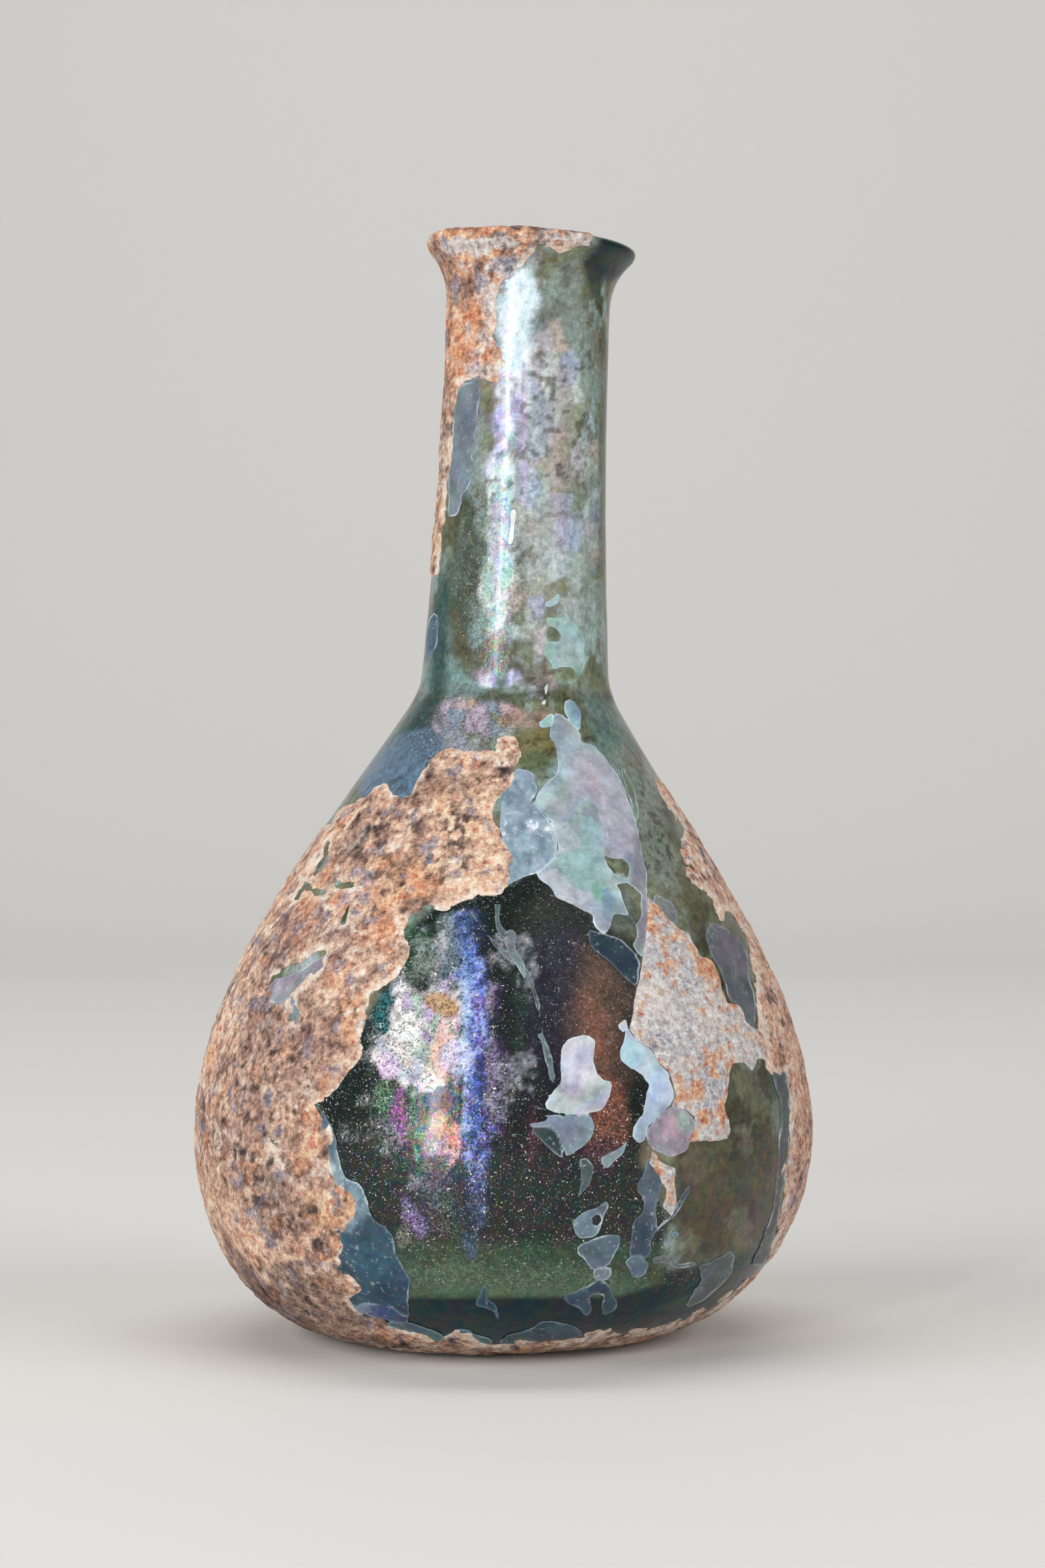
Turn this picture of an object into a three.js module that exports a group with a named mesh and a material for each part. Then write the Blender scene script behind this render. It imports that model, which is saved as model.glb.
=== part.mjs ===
// A free-blown ancient glass bottle: a pear-shaped body, a long neck that narrows upwards and
// a flaring mouth with a thick round lip. It was blown in one piece, so it is one hollow solid,
// open at the mouth, with a thick floor that is pushed in a little in the middle.
// Millimetres, +Z up. The bottle stands on z = 0 and its belly is centred on the Z axis; the
// foot, the neck and the lip stray sideways from that axis, as hand-made glass does.
import * as THREE from "three";

// Body
const FOOT_RADIUS = 17.8; // outer edge of the flat ring that it stands on
const KICK_RADIUS = 12; // inner edge of that ring, where the base turns inwards
const KICK_DEPTH = 1.4; // how far the middle of the base is pushed in
const BELLY_RADIUS = 39.6; // the widest place
const BELLY_HEIGHT = 25.5; // height of the widest place
const BODY_HEIGHT = 82; // height of the crease between body and neck
const SHOULDER_SLOPE = 0.63; // radius lost for each millimetre climbed, just under the crease
const CREASE_ROUNDING = 2.2; // length of profile that the crease is rounded over, on each side

// Neck
const NECK_ROOT_RADIUS = 12.5;
const NECK_TOP_RADIUS = 10.7;
const NECK_LENGTH = 49; // crease to where the mouth starts to flare

// Mouth
const FLARE_LENGTH = 7.7; // start of the flare to the middle of the lip
const LIP_THICKNESS = 4; // across, where the lip is widest
const LIP_CROWN = 1.1; // rise of the lip's rounded top above that place
const LIP_OVERHANG = 1; // middle of the lip beyond the outside of the neck
const LIP_MEETS_FLARE_DEG = 45; // how far below level the flare runs into the lip

// Glass thickness
const BODY_WALL = 1.6;
const NECK_WALL = 1.8;
const FLOOR = 3.4;
const FLOOR_THINS_OVER = 14; // height over which the thick floor thins to the body's wall

// How far the glass strays from a true turned shape
const FOOT_SHIFT = -1.35; // sideways, along X
const NECK_ROOT_SHIFT = 1.4;
const NECK_LEAN_DEG = 2.2; // towards +X
const MOUTH_TILT_DEG = 3.6; // the lip is lower on the +X side
const MOUTH_TILT_LENGTH = 20; // length of neck under the lip that the tilt grows over

const SIDES = 56; // facets round the bottle

const FLARE_START = BODY_HEIGHT + NECK_LENGTH;
const LIP_HEIGHT = FLARE_START + FLARE_LENGTH;
const LIP_RADIUS = NECK_TOP_RADIUS + LIP_OVERHANG;

const mix = (a, b, t) => a + (b - a) * t;
const smooth = (low, high, value) => THREE.MathUtils.smoothstep(value, low, high);
const tangentOf = (degrees) => Math.tan(THREE.MathUtils.degToRad(degrees));

// The outside, from the middle of the base up to where the flare meets the lip, as a path of
// (radius, height).
function outsideProfile() {
  const shoulderRise = BODY_HEIGHT - BELLY_HEIGHT;
  const bezierReach = 1 / 3; // of the rise: with it a Bezier curve has the slopes asked for
  const shoulderTop = NECK_ROOT_RADIUS + SHOULDER_SLOPE * CREASE_ROUNDING;
  const taper = (NECK_ROOT_RADIUS - NECK_TOP_RADIUS) / NECK_LENGTH;
  const meets = THREE.MathUtils.degToRad(LIP_MEETS_FLARE_DEG);
  const lipEdge = new THREE.Vector2(
    LIP_RADIUS + (LIP_THICKNESS / 2) * Math.cos(meets),
    LIP_HEIGHT - (LIP_THICKNESS / 2) * Math.sin(meets),
  );
  // The flare leaves the neck upright and reaches the lip along the lip's own tangent.
  const flareBend = lipEdge.y - (lipEdge.x - NECK_TOP_RADIUS) / Math.tan(meets);

  const base = new THREE.Path();
  base.moveTo(0, KICK_DEPTH);
  base.bezierCurveTo(KICK_RADIUS / 2, KICK_DEPTH, KICK_RADIUS / 2, 0, KICK_RADIUS, 0);

  const lowerBelly = new THREE.EllipseCurve(
    FOOT_RADIUS,
    BELLY_HEIGHT,
    BELLY_RADIUS - FOOT_RADIUS,
    BELLY_HEIGHT,
    -Math.PI / 2,
    0,
  );

  const upper = new THREE.Path();
  upper.moveTo(BELLY_RADIUS, BELLY_HEIGHT);
  upper.bezierCurveTo(
    BELLY_RADIUS,
    BELLY_HEIGHT + shoulderRise * bezierReach,
    shoulderTop + SHOULDER_SLOPE * shoulderRise * bezierReach,
    BODY_HEIGHT - CREASE_ROUNDING - shoulderRise * bezierReach,
    shoulderTop,
    BODY_HEIGHT - CREASE_ROUNDING,
  );

  const creaseTop = new THREE.Vector2(
    NECK_ROOT_RADIUS - 2 * taper * CREASE_ROUNDING,
    BODY_HEIGHT + CREASE_ROUNDING,
  );
  const crease = new THREE.QuadraticBezierCurve(
    new THREE.Vector2(shoulderTop, BODY_HEIGHT - CREASE_ROUNDING),
    new THREE.Vector2(NECK_ROOT_RADIUS, BODY_HEIGHT),
    creaseTop,
  );
  const neckTop = new THREE.Vector2(NECK_TOP_RADIUS, FLARE_START);
  const neck = new THREE.QuadraticBezierCurve(
    creaseTop,
    new THREE.Vector2(NECK_TOP_RADIUS, mix(creaseTop.y, FLARE_START, 0.5)),
    neckTop,
  );
  const flare = new THREE.QuadraticBezierCurve(
    neckTop,
    new THREE.Vector2(NECK_TOP_RADIUS, flareBend),
    lipEdge,
  );

  return {
    wall: [
      ...base.getPoints(4),
      ...lowerBelly.getPoints(10),
      ...upper.getPoints(10).slice(1),
      ...crease.getPoints(3).slice(1),
      ...neck.getPoints(5).slice(1),
    ],
    flare: flare.getPoints(4).slice(1),
  };
}

// The lip, from the flare over the rounded top to the inside of the mouth.
function lipProfile() {
  const half = LIP_THICKNESS / 2;
  const meets = -THREE.MathUtils.degToRad(LIP_MEETS_FLARE_DEG);
  const edge = new THREE.EllipseCurve(LIP_RADIUS, LIP_HEIGHT, half, half, meets, 0);
  const crown = new THREE.EllipseCurve(LIP_RADIUS, LIP_HEIGHT, half, LIP_CROWN, 0, Math.PI);
  return [...edge.getPoints(2).slice(1), ...crown.getPoints(7).slice(1)];
}

function wallAt(height) {
  const wall = mix(BODY_WALL, NECK_WALL, smooth(BELLY_HEIGHT, BODY_HEIGHT, height));
  return mix(FLOOR, wall, smooth(0, FLOOR_THINS_OVER, height));
}

// The inside: each outside point moved in by the glass thickness, square to the profile.
function insideProfile(outside) {
  return outside.map((point, i) => {
    const before = outside[Math.max(i - 1, 0)];
    const after = outside[Math.min(i + 1, outside.length - 1)];
    const along = after.clone().sub(before).normalize();
    if (i === 0) along.set(1, 0); // level in the middle of the floor
    const outwards = new THREE.Vector2(along.y, -along.x);
    const inside = point.clone().addScaledVector(outwards, -wallAt(point.y));
    return i === 0 ? inside.setX(0) : inside;
  });
}

// The mouth's throat, from the lip down to the neck's bore.
function throatProfile() {
  const bore = NECK_TOP_RADIUS - NECK_WALL;
  const mouth = LIP_RADIUS - LIP_THICKNESS / 2;
  return [0.75, 0.5, 0.25].map(
    (share) =>
      new THREE.Vector2(mix(bore, mouth, smooth(0, 1, share)), FLARE_START + share * FLARE_LENGTH),
  );
}

// Where the middle of the bottle is at a height, along X.
function middleAt(height) {
  if (height < BELLY_HEIGHT) return FOOT_SHIFT * (1 - height / BELLY_HEIGHT) ** 2;
  const climbed = Math.min((height - BELLY_HEIGHT) / (BODY_HEIGHT - BELLY_HEIGHT), 1);
  const aboveCrease = Math.max(height - BODY_HEIGHT, 0);
  return NECK_ROOT_SHIFT * climbed ** 3 + tangentOf(NECK_LEAN_DEG) * aboveCrease;
}

// Turns a true turned shape into the leaning bottle with its tilted mouth.
function strayFromTrue(geometry) {
  const places = geometry.getAttribute("position");
  for (let i = 0; i < places.count; i += 1) {
    const x = places.getX(i);
    const height = places.getZ(i);
    const tilt = smooth(LIP_HEIGHT - MOUTH_TILT_LENGTH, LIP_HEIGHT, height);
    places.setX(i, x + middleAt(height));
    places.setZ(i, height - tangentOf(MOUTH_TILT_DEG) * x * tilt);
  }
  geometry.computeVertexNormals();
  return geometry;
}

function blownGlass() {
  const { wall, flare } = outsideProfile();
  const inside = insideProfile(wall).reverse();
  const profile = [...wall, ...flare, ...lipProfile(), ...throatProfile(), ...inside];
  const turned = new THREE.LatheGeometry(profile, SIDES).rotateX(Math.PI / 2);
  return strayFromTrue(turned);
}

const seaGreenGlass = new THREE.MeshStandardMaterial({
  color: 0x5d7d74,
  roughness: 0.2,
  metalness: 0,
  transparent: true,
  opacity: 0.6,
});

const bottle = new THREE.Mesh(blownGlass(), seaGreenGlass);
bottle.name = "glass_bottle";

const object = new THREE.Group();
object.add(bottle);
export default object;
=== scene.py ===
# %% [markdown]
# # An ancient glass bottle
# The bottle was blown from sea-green glass nearly two thousand years ago. In the ground its
# outside took on a hard crust of earth, and the glass itself weathered into thin pearly skins.
# Where crust and skin have flaked off, the glass shows, dark with painted shade. The script
# starts with the clear glass and the film inside it, then adds crust, stained skin and pearly
# flakes outside.
# Lengths are in millimetres until a mesh is made, because that is how the glass was measured.

import math

import bpy
import numpy as np
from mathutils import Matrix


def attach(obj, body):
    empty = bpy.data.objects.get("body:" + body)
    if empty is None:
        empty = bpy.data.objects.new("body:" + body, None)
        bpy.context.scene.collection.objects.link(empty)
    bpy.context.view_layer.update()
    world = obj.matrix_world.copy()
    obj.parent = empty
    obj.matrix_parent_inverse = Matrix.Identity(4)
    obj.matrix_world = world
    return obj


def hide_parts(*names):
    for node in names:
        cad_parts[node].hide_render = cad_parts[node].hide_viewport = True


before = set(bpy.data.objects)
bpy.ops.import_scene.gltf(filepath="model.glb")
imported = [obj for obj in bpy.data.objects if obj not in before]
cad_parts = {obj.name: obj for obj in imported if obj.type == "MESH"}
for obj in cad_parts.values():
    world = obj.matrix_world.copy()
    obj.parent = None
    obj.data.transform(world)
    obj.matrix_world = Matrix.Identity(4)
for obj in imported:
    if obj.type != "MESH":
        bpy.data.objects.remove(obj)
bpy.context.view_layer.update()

# %% [markdown]
# ## The camera
# The camera comes first, because the edges of crust and film were read off the photograph and
# have to be laid back on the glass along its lines of sight. The ellipses of the lip and the base
# gave its height and distance: it stands level, half-way up the bottle. A long lens keeps the
# outline calm.

# %% Camera
PHOTO_WIDTH, PHOTO_HEIGHT = 1568, 2353
EYE = np.array([2.44, -435.0, 70.1])
PIXELS_PER_SLOPE = 5089.5  # focal length in pixels of the photograph
SENSOR = 36.0

camera_data = bpy.data.cameras.new("camera")
camera_data.sensor_width = SENSOR
camera_data.lens = PIXELS_PER_SLOPE / PHOTO_HEIGHT * SENSOR
camera = bpy.data.objects.new("camera", camera_data)
camera.location = EYE / 1000
camera.rotation_euler = (math.radians(90), 0, 0)
bpy.context.scene.collection.objects.link(camera)
bpy.context.scene.camera = camera


def in_photo(points):
    """Pixel of each point: the slope of its line of sight from the eye, times the focal length,
    counted from the middle of the photograph."""
    away = points[:, 1] - EYE[1]
    across = PHOTO_WIDTH / 2 + PIXELS_PER_SLOPE * (points[:, 0] - EYE[0]) / away
    down = PHOTO_HEIGHT / 2 - PIXELS_PER_SLOPE * (points[:, 2] - EYE[2]) / away
    return np.stack([across, down], axis=1)


PIXELS_PER_MM = PIXELS_PER_SLOPE / -EYE[1]
print("lens", round(camera_data.lens, 1), "mm,", round(PIXELS_PER_MM, 1), "pixels per mm")

# %% [markdown]
# ## The bottle's own surface
# Everything on the bottle follows one blown shape, so it is written once: a profile of radius
# against height, turned round the axis and then pushed a little out of true. A place on the
# bottle is two numbers, the angle round it and the distance along the profile from the middle of
# the base. A third, the depth under the outermost surface, puts glass, skins and crust over one
# another without any of them meeting.

# %% The profile
FOOT_RADIUS, KICK_RADIUS, KICK_DEPTH = 17.8, 12.0, 1.4
BELLY_RADIUS, BELLY_HEIGHT = 39.6, 25.5
BODY_HEIGHT, SHOULDER_SLOPE, CREASE_ROUNDING = 82.0, 0.63, 2.2
NECK_ROOT_RADIUS, NECK_TOP_RADIUS, NECK_LENGTH = 12.5, 10.7, 49.0
FLARE_LENGTH, LIP_THICKNESS, LIP_CROWN, LIP_OVERHANG = 7.7, 4.0, 1.1, 1.0
LIP_MEETS_FLARE = math.radians(45)
BODY_WALL, NECK_WALL, FLOOR, FLOOR_THINS_OVER = 1.6, 1.8, 3.4, 14.0
THROAT_END = 2.0  # the profile ends inside the mouth, this far above the top of the neck
FLARE_START = BODY_HEIGHT + NECK_LENGTH
LIP_HEIGHT = FLARE_START + FLARE_LENGTH
LIP_RADIUS = NECK_TOP_RADIUS + LIP_OVERHANG


def bezier(corners, steps=200):
    """Bezier curve: neighbouring corners are mixed by the same share again and again, until one
    point is left for each share."""
    share = np.linspace(0, 1, steps)[:, None]
    level = [np.tile(np.array(corner, float), (steps, 1)) for corner in corners]
    while len(level) > 1:
        level = [(1 - share) * a + share * b for a, b in zip(level, level[1:])]
    return level[0]


def arc(centre, reach, start, end, steps):
    """Part of an ellipse: centre plus reach times the cosine and sine of an angle."""
    angle = np.radians(np.linspace(start, end, steps))
    across, up = centre[0] + reach[0] * np.cos(angle), centre[1] + reach[1] * np.sin(angle)
    return np.stack([across, up], 1)


def smooth(low, high, value):
    """0 below low, 1 above high, and an S-shaped rise between them."""
    share = np.clip((value - low) / (high - low), 0, 1)
    return share * share * (3 - 2 * share)


def outline_of_glass():
    """The outside as one path of radius and height: from the middle of the base up to the lip,
    over it, and nearly 6 mm down the throat."""
    rise = (BODY_HEIGHT - BELLY_HEIGHT) / 3
    shoulder = NECK_ROOT_RADIUS + SHOULDER_SLOPE * CREASE_ROUNDING
    taper = (NECK_ROOT_RADIUS - NECK_TOP_RADIUS) / NECK_LENGTH
    under = BODY_HEIGHT - CREASE_ROUNDING
    crease_top = (NECK_ROOT_RADIUS - 2 * taper * CREASE_ROUNDING, BODY_HEIGHT + CREASE_ROUNDING)
    half = LIP_THICKNESS / 2
    edge = (
        LIP_RADIUS + half * math.cos(LIP_MEETS_FLARE),
        LIP_HEIGHT - half * math.sin(LIP_MEETS_FLARE),
    )
    bend = edge[1] - (edge[0] - NECK_TOP_RADIUS) / math.tan(LIP_MEETS_FLARE)
    neck_top = (NECK_TOP_RADIUS, FLARE_START)
    half_way = (NECK_TOP_RADIUS, (crease_top[1] + FLARE_START) / 2)
    shoulder_slope_end = shoulder + SHOULDER_SLOPE * rise
    throat = (NECK_TOP_RADIUS - NECK_WALL, FLARE_START + THROAT_END)
    parts = [
        bezier([(0, KICK_DEPTH), (KICK_RADIUS / 2, KICK_DEPTH), (KICK_RADIUS / 2, 0),
                (KICK_RADIUS, 0)]),
        bezier([(KICK_RADIUS, 0), (FOOT_RADIUS, 0)], 20),
        arc((FOOT_RADIUS, BELLY_HEIGHT), (BELLY_RADIUS - FOOT_RADIUS, BELLY_HEIGHT), -90, 0, 300),
        bezier([(BELLY_RADIUS, BELLY_HEIGHT), (BELLY_RADIUS, BELLY_HEIGHT + rise),
                (shoulder_slope_end, under - rise), (shoulder, under)], 300),
        bezier([(shoulder, under), (NECK_ROOT_RADIUS, BODY_HEIGHT), crease_top], 60),
        bezier([crease_top, half_way, neck_top]),
        bezier([neck_top, (NECK_TOP_RADIUS, bend), edge], 80),
        arc((LIP_RADIUS, LIP_HEIGHT), (half, half), -45, 0, 30),
        arc((LIP_RADIUS, LIP_HEIGHT), (half, LIP_CROWN), 0, 180, 60),
        bezier([(LIP_RADIUS - half, LIP_HEIGHT), throat], 40),
    ]
    return np.concatenate([parts[0]] + [part[1:] for part in parts[1:]])


def evened(path, step=0.1):
    """The same path with its points a step apart, its distances, and its outward normals: the
    direction along the path turned a quarter turn clockwise."""
    reach = np.concatenate([[0], np.cumsum(np.linalg.norm(np.diff(path, axis=0), axis=1))])
    distance = np.arange(0, reach[-1], step)
    points = np.stack([np.interp(distance, reach, path[:, i]) for i in (0, 1)], 1)
    along = np.gradient(points, axis=0)
    kernel = np.ones(9) / 9  # rounds the turn where two curves meet
    padded = np.pad(along, ((4, 4), (0, 0)), mode="edge")
    along = np.stack([np.convolve(padded[:, i], kernel, "valid") for i in (0, 1)], 1)
    along /= np.linalg.norm(along, axis=1)[:, None]
    return distance, points, np.stack([along[:, 1], -along[:, 0]], 1)


WAY, OUTSIDE, OUTWARD = evened(outline_of_glass())
LIP_TOP = WAY[np.argmax(OUTSIDE[:, 1])]
BELLY = WAY[np.argmax(OUTSIDE[:, 0])]
print("profile", round(WAY[-1], 1), "mm long")
print("belly at", round(BELLY, 1), "mm along it and top of the lip at", round(LIP_TOP, 1))

# %% Out of true: the foot, the neck and the lip stray sideways, as on hand-made glass
FOOT_SHIFT, NECK_ROOT_SHIFT = -1.35, 1.4
NECK_LEAN, MOUTH_TILT = math.tan(math.radians(2.2)), math.tan(math.radians(3.6))
MOUTH_TILT_LENGTH = 20.0


def strayed(x, y, height):
    """Shifts each point along X by a curve of its height, then lowers the mouth on its +X side."""
    below = FOOT_SHIFT * np.clip(1 - height / BELLY_HEIGHT, 0, None) ** 2
    climbed = np.clip((height - BELLY_HEIGHT) / (BODY_HEIGHT - BELLY_HEIGHT), 0, 1)
    above = NECK_LEAN * np.clip(height - BODY_HEIGHT, 0, None)
    tilt = smooth(LIP_HEIGHT - MOUTH_TILT_LENGTH, LIP_HEIGHT, height)
    shifted = x + below + NECK_ROOT_SHIFT * climbed**3 + above
    return np.stack([shifted, y, height - MOUTH_TILT * x * tilt], axis=-1)


def on_bottle(angle, way, depth):
    """Point at an angle round the bottle and a distance along the profile, depth mm under the
    outermost surface: the profile's point less its outward normal times the depth, turned by the
    angle, then strayed."""
    radius = np.interp(way, WAY, OUTSIDE[:, 0]) - depth * np.interp(way, WAY, OUTWARD[:, 0])
    height = np.interp(way, WAY, OUTSIDE[:, 1]) - depth * np.interp(way, WAY, OUTWARD[:, 1])
    return strayed(radius * np.cos(angle), radius * np.sin(angle), height)


def up_to(height):
    """Distance along the profile, past the foot, at which it reaches a height."""
    climbing = (WAY > KICK_RADIUS) & (WAY < LIP_TOP)
    return float(np.interp(height, OUTSIDE[climbing, 1], WAY[climbing]))


def facing_out(angle, way):
    """Outward direction of the surface at each place."""
    across, up = (np.interp(way, WAY, OUTWARD[:, i]) for i in (0, 1))
    return np.stack([across * np.cos(angle), across * np.sin(angle), up], axis=-1)


# %% [markdown]
# ## Chance, and the edges read from the photograph
# Earth and weather leave ragged, uneven marks. Blender's noise textures could colour them, but
# the shapes need the same noise in numpy, where a mesh can be cut by it. An outline is a list of
# pixels read along an edge in the photograph. How far a point lies inside it tells where a
# flake ends, how thick it is there, and where its pale rim runs.

# %% Noise
LATTICE = 32  # the random numbers repeat after so many cells
OCTAVE_SHIFT = 7.3  # cells, so that the octaves' lattices don't line up
NOISE_GAIN = 1.6  # brings the mixed numbers back to about -1 to 1
FAR = 90  # pixels outside an outline, past which the distance is held


def noise(points, size, seed, octaves=3):
    """Smooth chance from -1 to 1: random numbers on a lattice with cells of one size, mixed
    between the eight corners round each point. Each further octave has half the size and weight."""
    table = np.random.default_rng(seed).uniform(-1, 1, (LATTICE,) * 3)
    total, weight = np.zeros(len(points)), 0.0
    for octave in range(octaves):
        place = points / size * 2**octave + OCTAVE_SHIFT * octave
        corner = np.floor(place).astype(int)
        share = place - corner
        share = share * share * (3 - 2 * share)
        value = np.zeros(len(points))
        for step in np.ndindex(2, 2, 2):
            part = np.prod(np.where(step, share, 1 - share), axis=1)
            i, j, k = ((corner + step) % LATTICE).T
            value += part * table[i, j, k]
        total += value / 2**octave
        weight += 0.5**octave
    return total / weight * NOISE_GAIN


def inside_of(pixels, outline):
    """Signed distance in mm to a closed outline, positive inside: the least distance to any of
    its sides, with the sign from counting the sides crossed by a level line from the point."""
    outline = np.array(outline, float)
    near = np.all((pixels > outline.min(0) - FAR) & (pixels < outline.max(0) + FAR), axis=1)
    spots = pixels[near]
    least, within = np.full(len(spots), 1e9), np.zeros(len(spots), bool)
    for a, b in zip(outline, np.roll(outline, -1, axis=0)):
        side, off = b - a, spots - a
        share = np.clip(off @ side / max(side @ side, 1e-9), 0, 1)
        least = np.minimum(least, ((off - share[:, None] * side) ** 2).sum(1))
        if a[1] != b[1]:
            level = (a[1] > spots[:, 1]) != (b[1] > spots[:, 1])
            within ^= level & (spots[:, 0] < a[0] + side[0] * (spots[:, 1] - a[1]) / side[1])
    distance = np.full(len(pixels), -FAR / PIXELS_PER_MM)
    distance[near] = np.sqrt(least) * np.where(within, 1, -1) / PIXELS_PER_MM
    return distance


def inside_any(pixels, outlines):
    """The greatest of the signed distances to several outlines."""
    return np.max([inside_of(pixels, outline) for outline in outlines], axis=0)


# %% [markdown]
# ## Shells
# Crust and skins are thin shells with a ragged edge. Solidify with a boolean cut would do for
# one, but it is slow and rough on a curved, ragged edge. Here a fine grid over the bottle is cut
# along the line where a field is zero, triangle by triangle. The same cut sheet, lower down,
# closes it underneath, and a strip of wall joins the two, so every flake has a real thickness.


# %% Grid, cut and wall
def grid_over(angles, ways):
    """All pairs of an angle and a way, with the triangles between neighbours facing outwards."""
    angle, way = (a.ravel() for a in np.meshgrid(angles, ways))
    columns, rows = len(angles), len(ways)
    low = (np.arange(rows - 1)[:, None] * columns + np.arange(columns - 1)).ravel()
    first = np.stack([low, low + 1, low + columns + 1], 1)
    second = np.stack([low, low + columns + 1, low + columns], 1)
    return angle, way, np.concatenate([first, second])


def cut(triangles, field, rows):
    """Keeps what lies where the field is above zero. A triangle with one corner kept becomes one
    smaller triangle, and one with two corners kept becomes two. New corners lie where the field
    is zero along a side, and their row is the same mix of the rows at its ends."""
    kept_corner = field[triangles] > 0
    count = kept_corner.sum(1)
    whole = triangles[count == 3]
    one, two = triangles[count == 1], triangles[count == 2]
    turn = np.argmax(kept_corner[count == 1], axis=1)
    one = one[np.arange(len(one))[:, None], (turn[:, None] + np.arange(3)) % 3]
    turn = np.argmin(kept_corner[count == 2], axis=1)
    two = two[np.arange(len(two))[:, None], (turn[:, None] + np.arange(3)) % 3]
    sides = np.concatenate([one[:, [0, 1]], one[:, [0, 2]], two[:, [0, 1]], two[:, [0, 2]]])
    sides, where = np.unique(np.sort(sides, axis=1), axis=0, return_inverse=True)
    where = where.ravel() + len(rows)
    a, b = field[sides[:, 0]], field[sides[:, 1]]
    share = np.clip(a / (a - b), 0.02, 0.98)[:, None]
    rows = np.concatenate([rows, rows[sides[:, 0]] * (1 - share) + rows[sides[:, 1]] * share])
    p, q, r, s = np.split(where, np.cumsum([len(one), len(one), len(two)]))
    new = [
        whole,
        np.stack([one[:, 0], p, q], 1),
        np.stack([r, two[:, 1], two[:, 2]], 1),
        np.stack([r, two[:, 2], s], 1),
    ]
    return np.concatenate(new), rows


def closed(top_triangles, rows):
    """A closed shell. Each row starts with a top point and a bottom point. The bottom sheet is
    the top one turned over, and each free edge of the top gets two triangles of wall."""
    used, top_triangles = np.unique(top_triangles, return_inverse=True)
    top_triangles, rows = top_triangles.reshape(-1, 3), rows[used]
    count = len(rows)
    edges = top_triangles[:, [0, 1, 1, 2, 2, 0]].reshape(-1, 2).astype(np.int64)
    back = edges[:, 1] * count + edges[:, 0]
    free = edges[~np.isin(edges[:, 0] * count + edges[:, 1], back)]
    a, b = free.T
    wall = np.concatenate([np.stack([b, a, a + count], 1), np.stack([b, a + count, b + count], 1)])
    triangles = np.concatenate([top_triangles, top_triangles[:, ::-1] + count, wall])
    points = np.concatenate([rows[:, :3], rows[:, 3:6]])
    extra = np.concatenate([rows[:, 6:], rows[:, 6:]])
    return points, triangles, extra


SHARP = math.radians(50)


def piece(name, points, triangles, material, colours=None, shine=None):
    """Puts points in mm and triangles into a mesh in metres, optionally with a colour and cover
    for each point and the share of painted glints and dark grains there, and gives the object its
    material and its body."""
    mesh = bpy.data.meshes.new(name)
    mesh.vertices.add(len(points))
    mesh.vertices.foreach_set("co", (points / 1000).astype(np.float32).ravel())
    mesh.loops.add(triangles.size)
    mesh.loops.foreach_set("vertex_index", triangles.astype(np.int32).ravel())
    mesh.polygons.add(len(triangles))
    mesh.polygons.foreach_set("loop_start", np.arange(0, triangles.size, 3, dtype=np.int32))
    mesh.polygons.foreach_set("use_smooth", np.ones(len(triangles), bool))
    mesh.update(calc_edges=True)
    mesh.set_sharp_from_angle(angle=SHARP)
    if colours is not None:
        paint = mesh.color_attributes.new("paint", "FLOAT_COLOR", "POINT")
        paint.data.foreach_set("color", colours.astype(np.float32).ravel())
    if shine is not None:
        mesh.attributes.new("shine", "FLOAT", "POINT").data.foreach_set(
            "value", shine.astype(np.float32)
        )
    mesh.materials.append(material)
    made = bpy.data.objects.new(name, mesh)
    bpy.context.scene.collection.objects.link(made)
    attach(made, "root")
    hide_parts("glass_bottle")
    print(name, "triangles", len(triangles))
    return made


def place_of(angle, way):
    """What the fields are worked out from at each grid corner: its point on the outermost
    surface, its pixel, and how far it faces the camera, from 1 in front to 0 behind."""
    points = on_bottle(angle, way, 0.0)
    sight = points - EYE
    towards = -(facing_out(angle, way) * sight).sum(1) / np.linalg.norm(sight, axis=1)
    return points, in_photo(points), smooth(-0.4, 0.0, towards)


# %% [markdown]
# ## Colours and nodes
# A painter's tools are kept apart from the picture: a few helpers name what each node does, so
# that a material reads like a recipe. Colours are written as a screen shows them, 0 to 255, and
# turned into the linear light that a shader works in.


# %% Node helpers
def colour(red, green, blue):
    """Screen colour to linear light: divided by 12.92 when dark, otherwise a power of 2.4."""
    share = np.array([red, green, blue]) / 255
    linear = np.where(share < 0.04045, share / 12.92, ((share + 0.055) / 1.055) ** 2.4)
    return (*linear.tolist(), 1.0)


def material_named(name, **values):
    """A new material and its Principled shader, with plain values on the shader's sockets."""
    made = bpy.data.materials.new(name)
    made.use_nodes = True
    shader = made.node_tree.nodes["Principled BSDF"]
    for socket, value in values.items():
        shader.inputs[socket.replace("_", " ")].default_value = value
    return made, made.node_tree, shader


def add(tree, kind, inputs=None, **settings):
    """A new node: settings on the node, then each input either linked or given a value."""
    new = tree.nodes.new("ShaderNode" + kind)
    for setting, value in settings.items():
        setattr(new, setting, value)
    for key, value in (inputs or {}).items():
        if isinstance(value, bpy.types.NodeSocket):
            tree.links.new(value, new.inputs[key])
        else:
            new.inputs[key].default_value = value
    return new


def cloud(tree, size, detail=5.0, rough=0.6, twist=0.0):
    """Noise on Object coordinates with features about size mm across, as a number."""
    where = add(tree, "TexCoord").outputs["Object"]
    inputs = {"Vector": where, "Scale": 1000 / size, "Detail": detail, "Roughness": rough}
    return add(tree, "TexNoise", {**inputs, "Distortion": twist}).outputs["Fac"]


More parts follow.
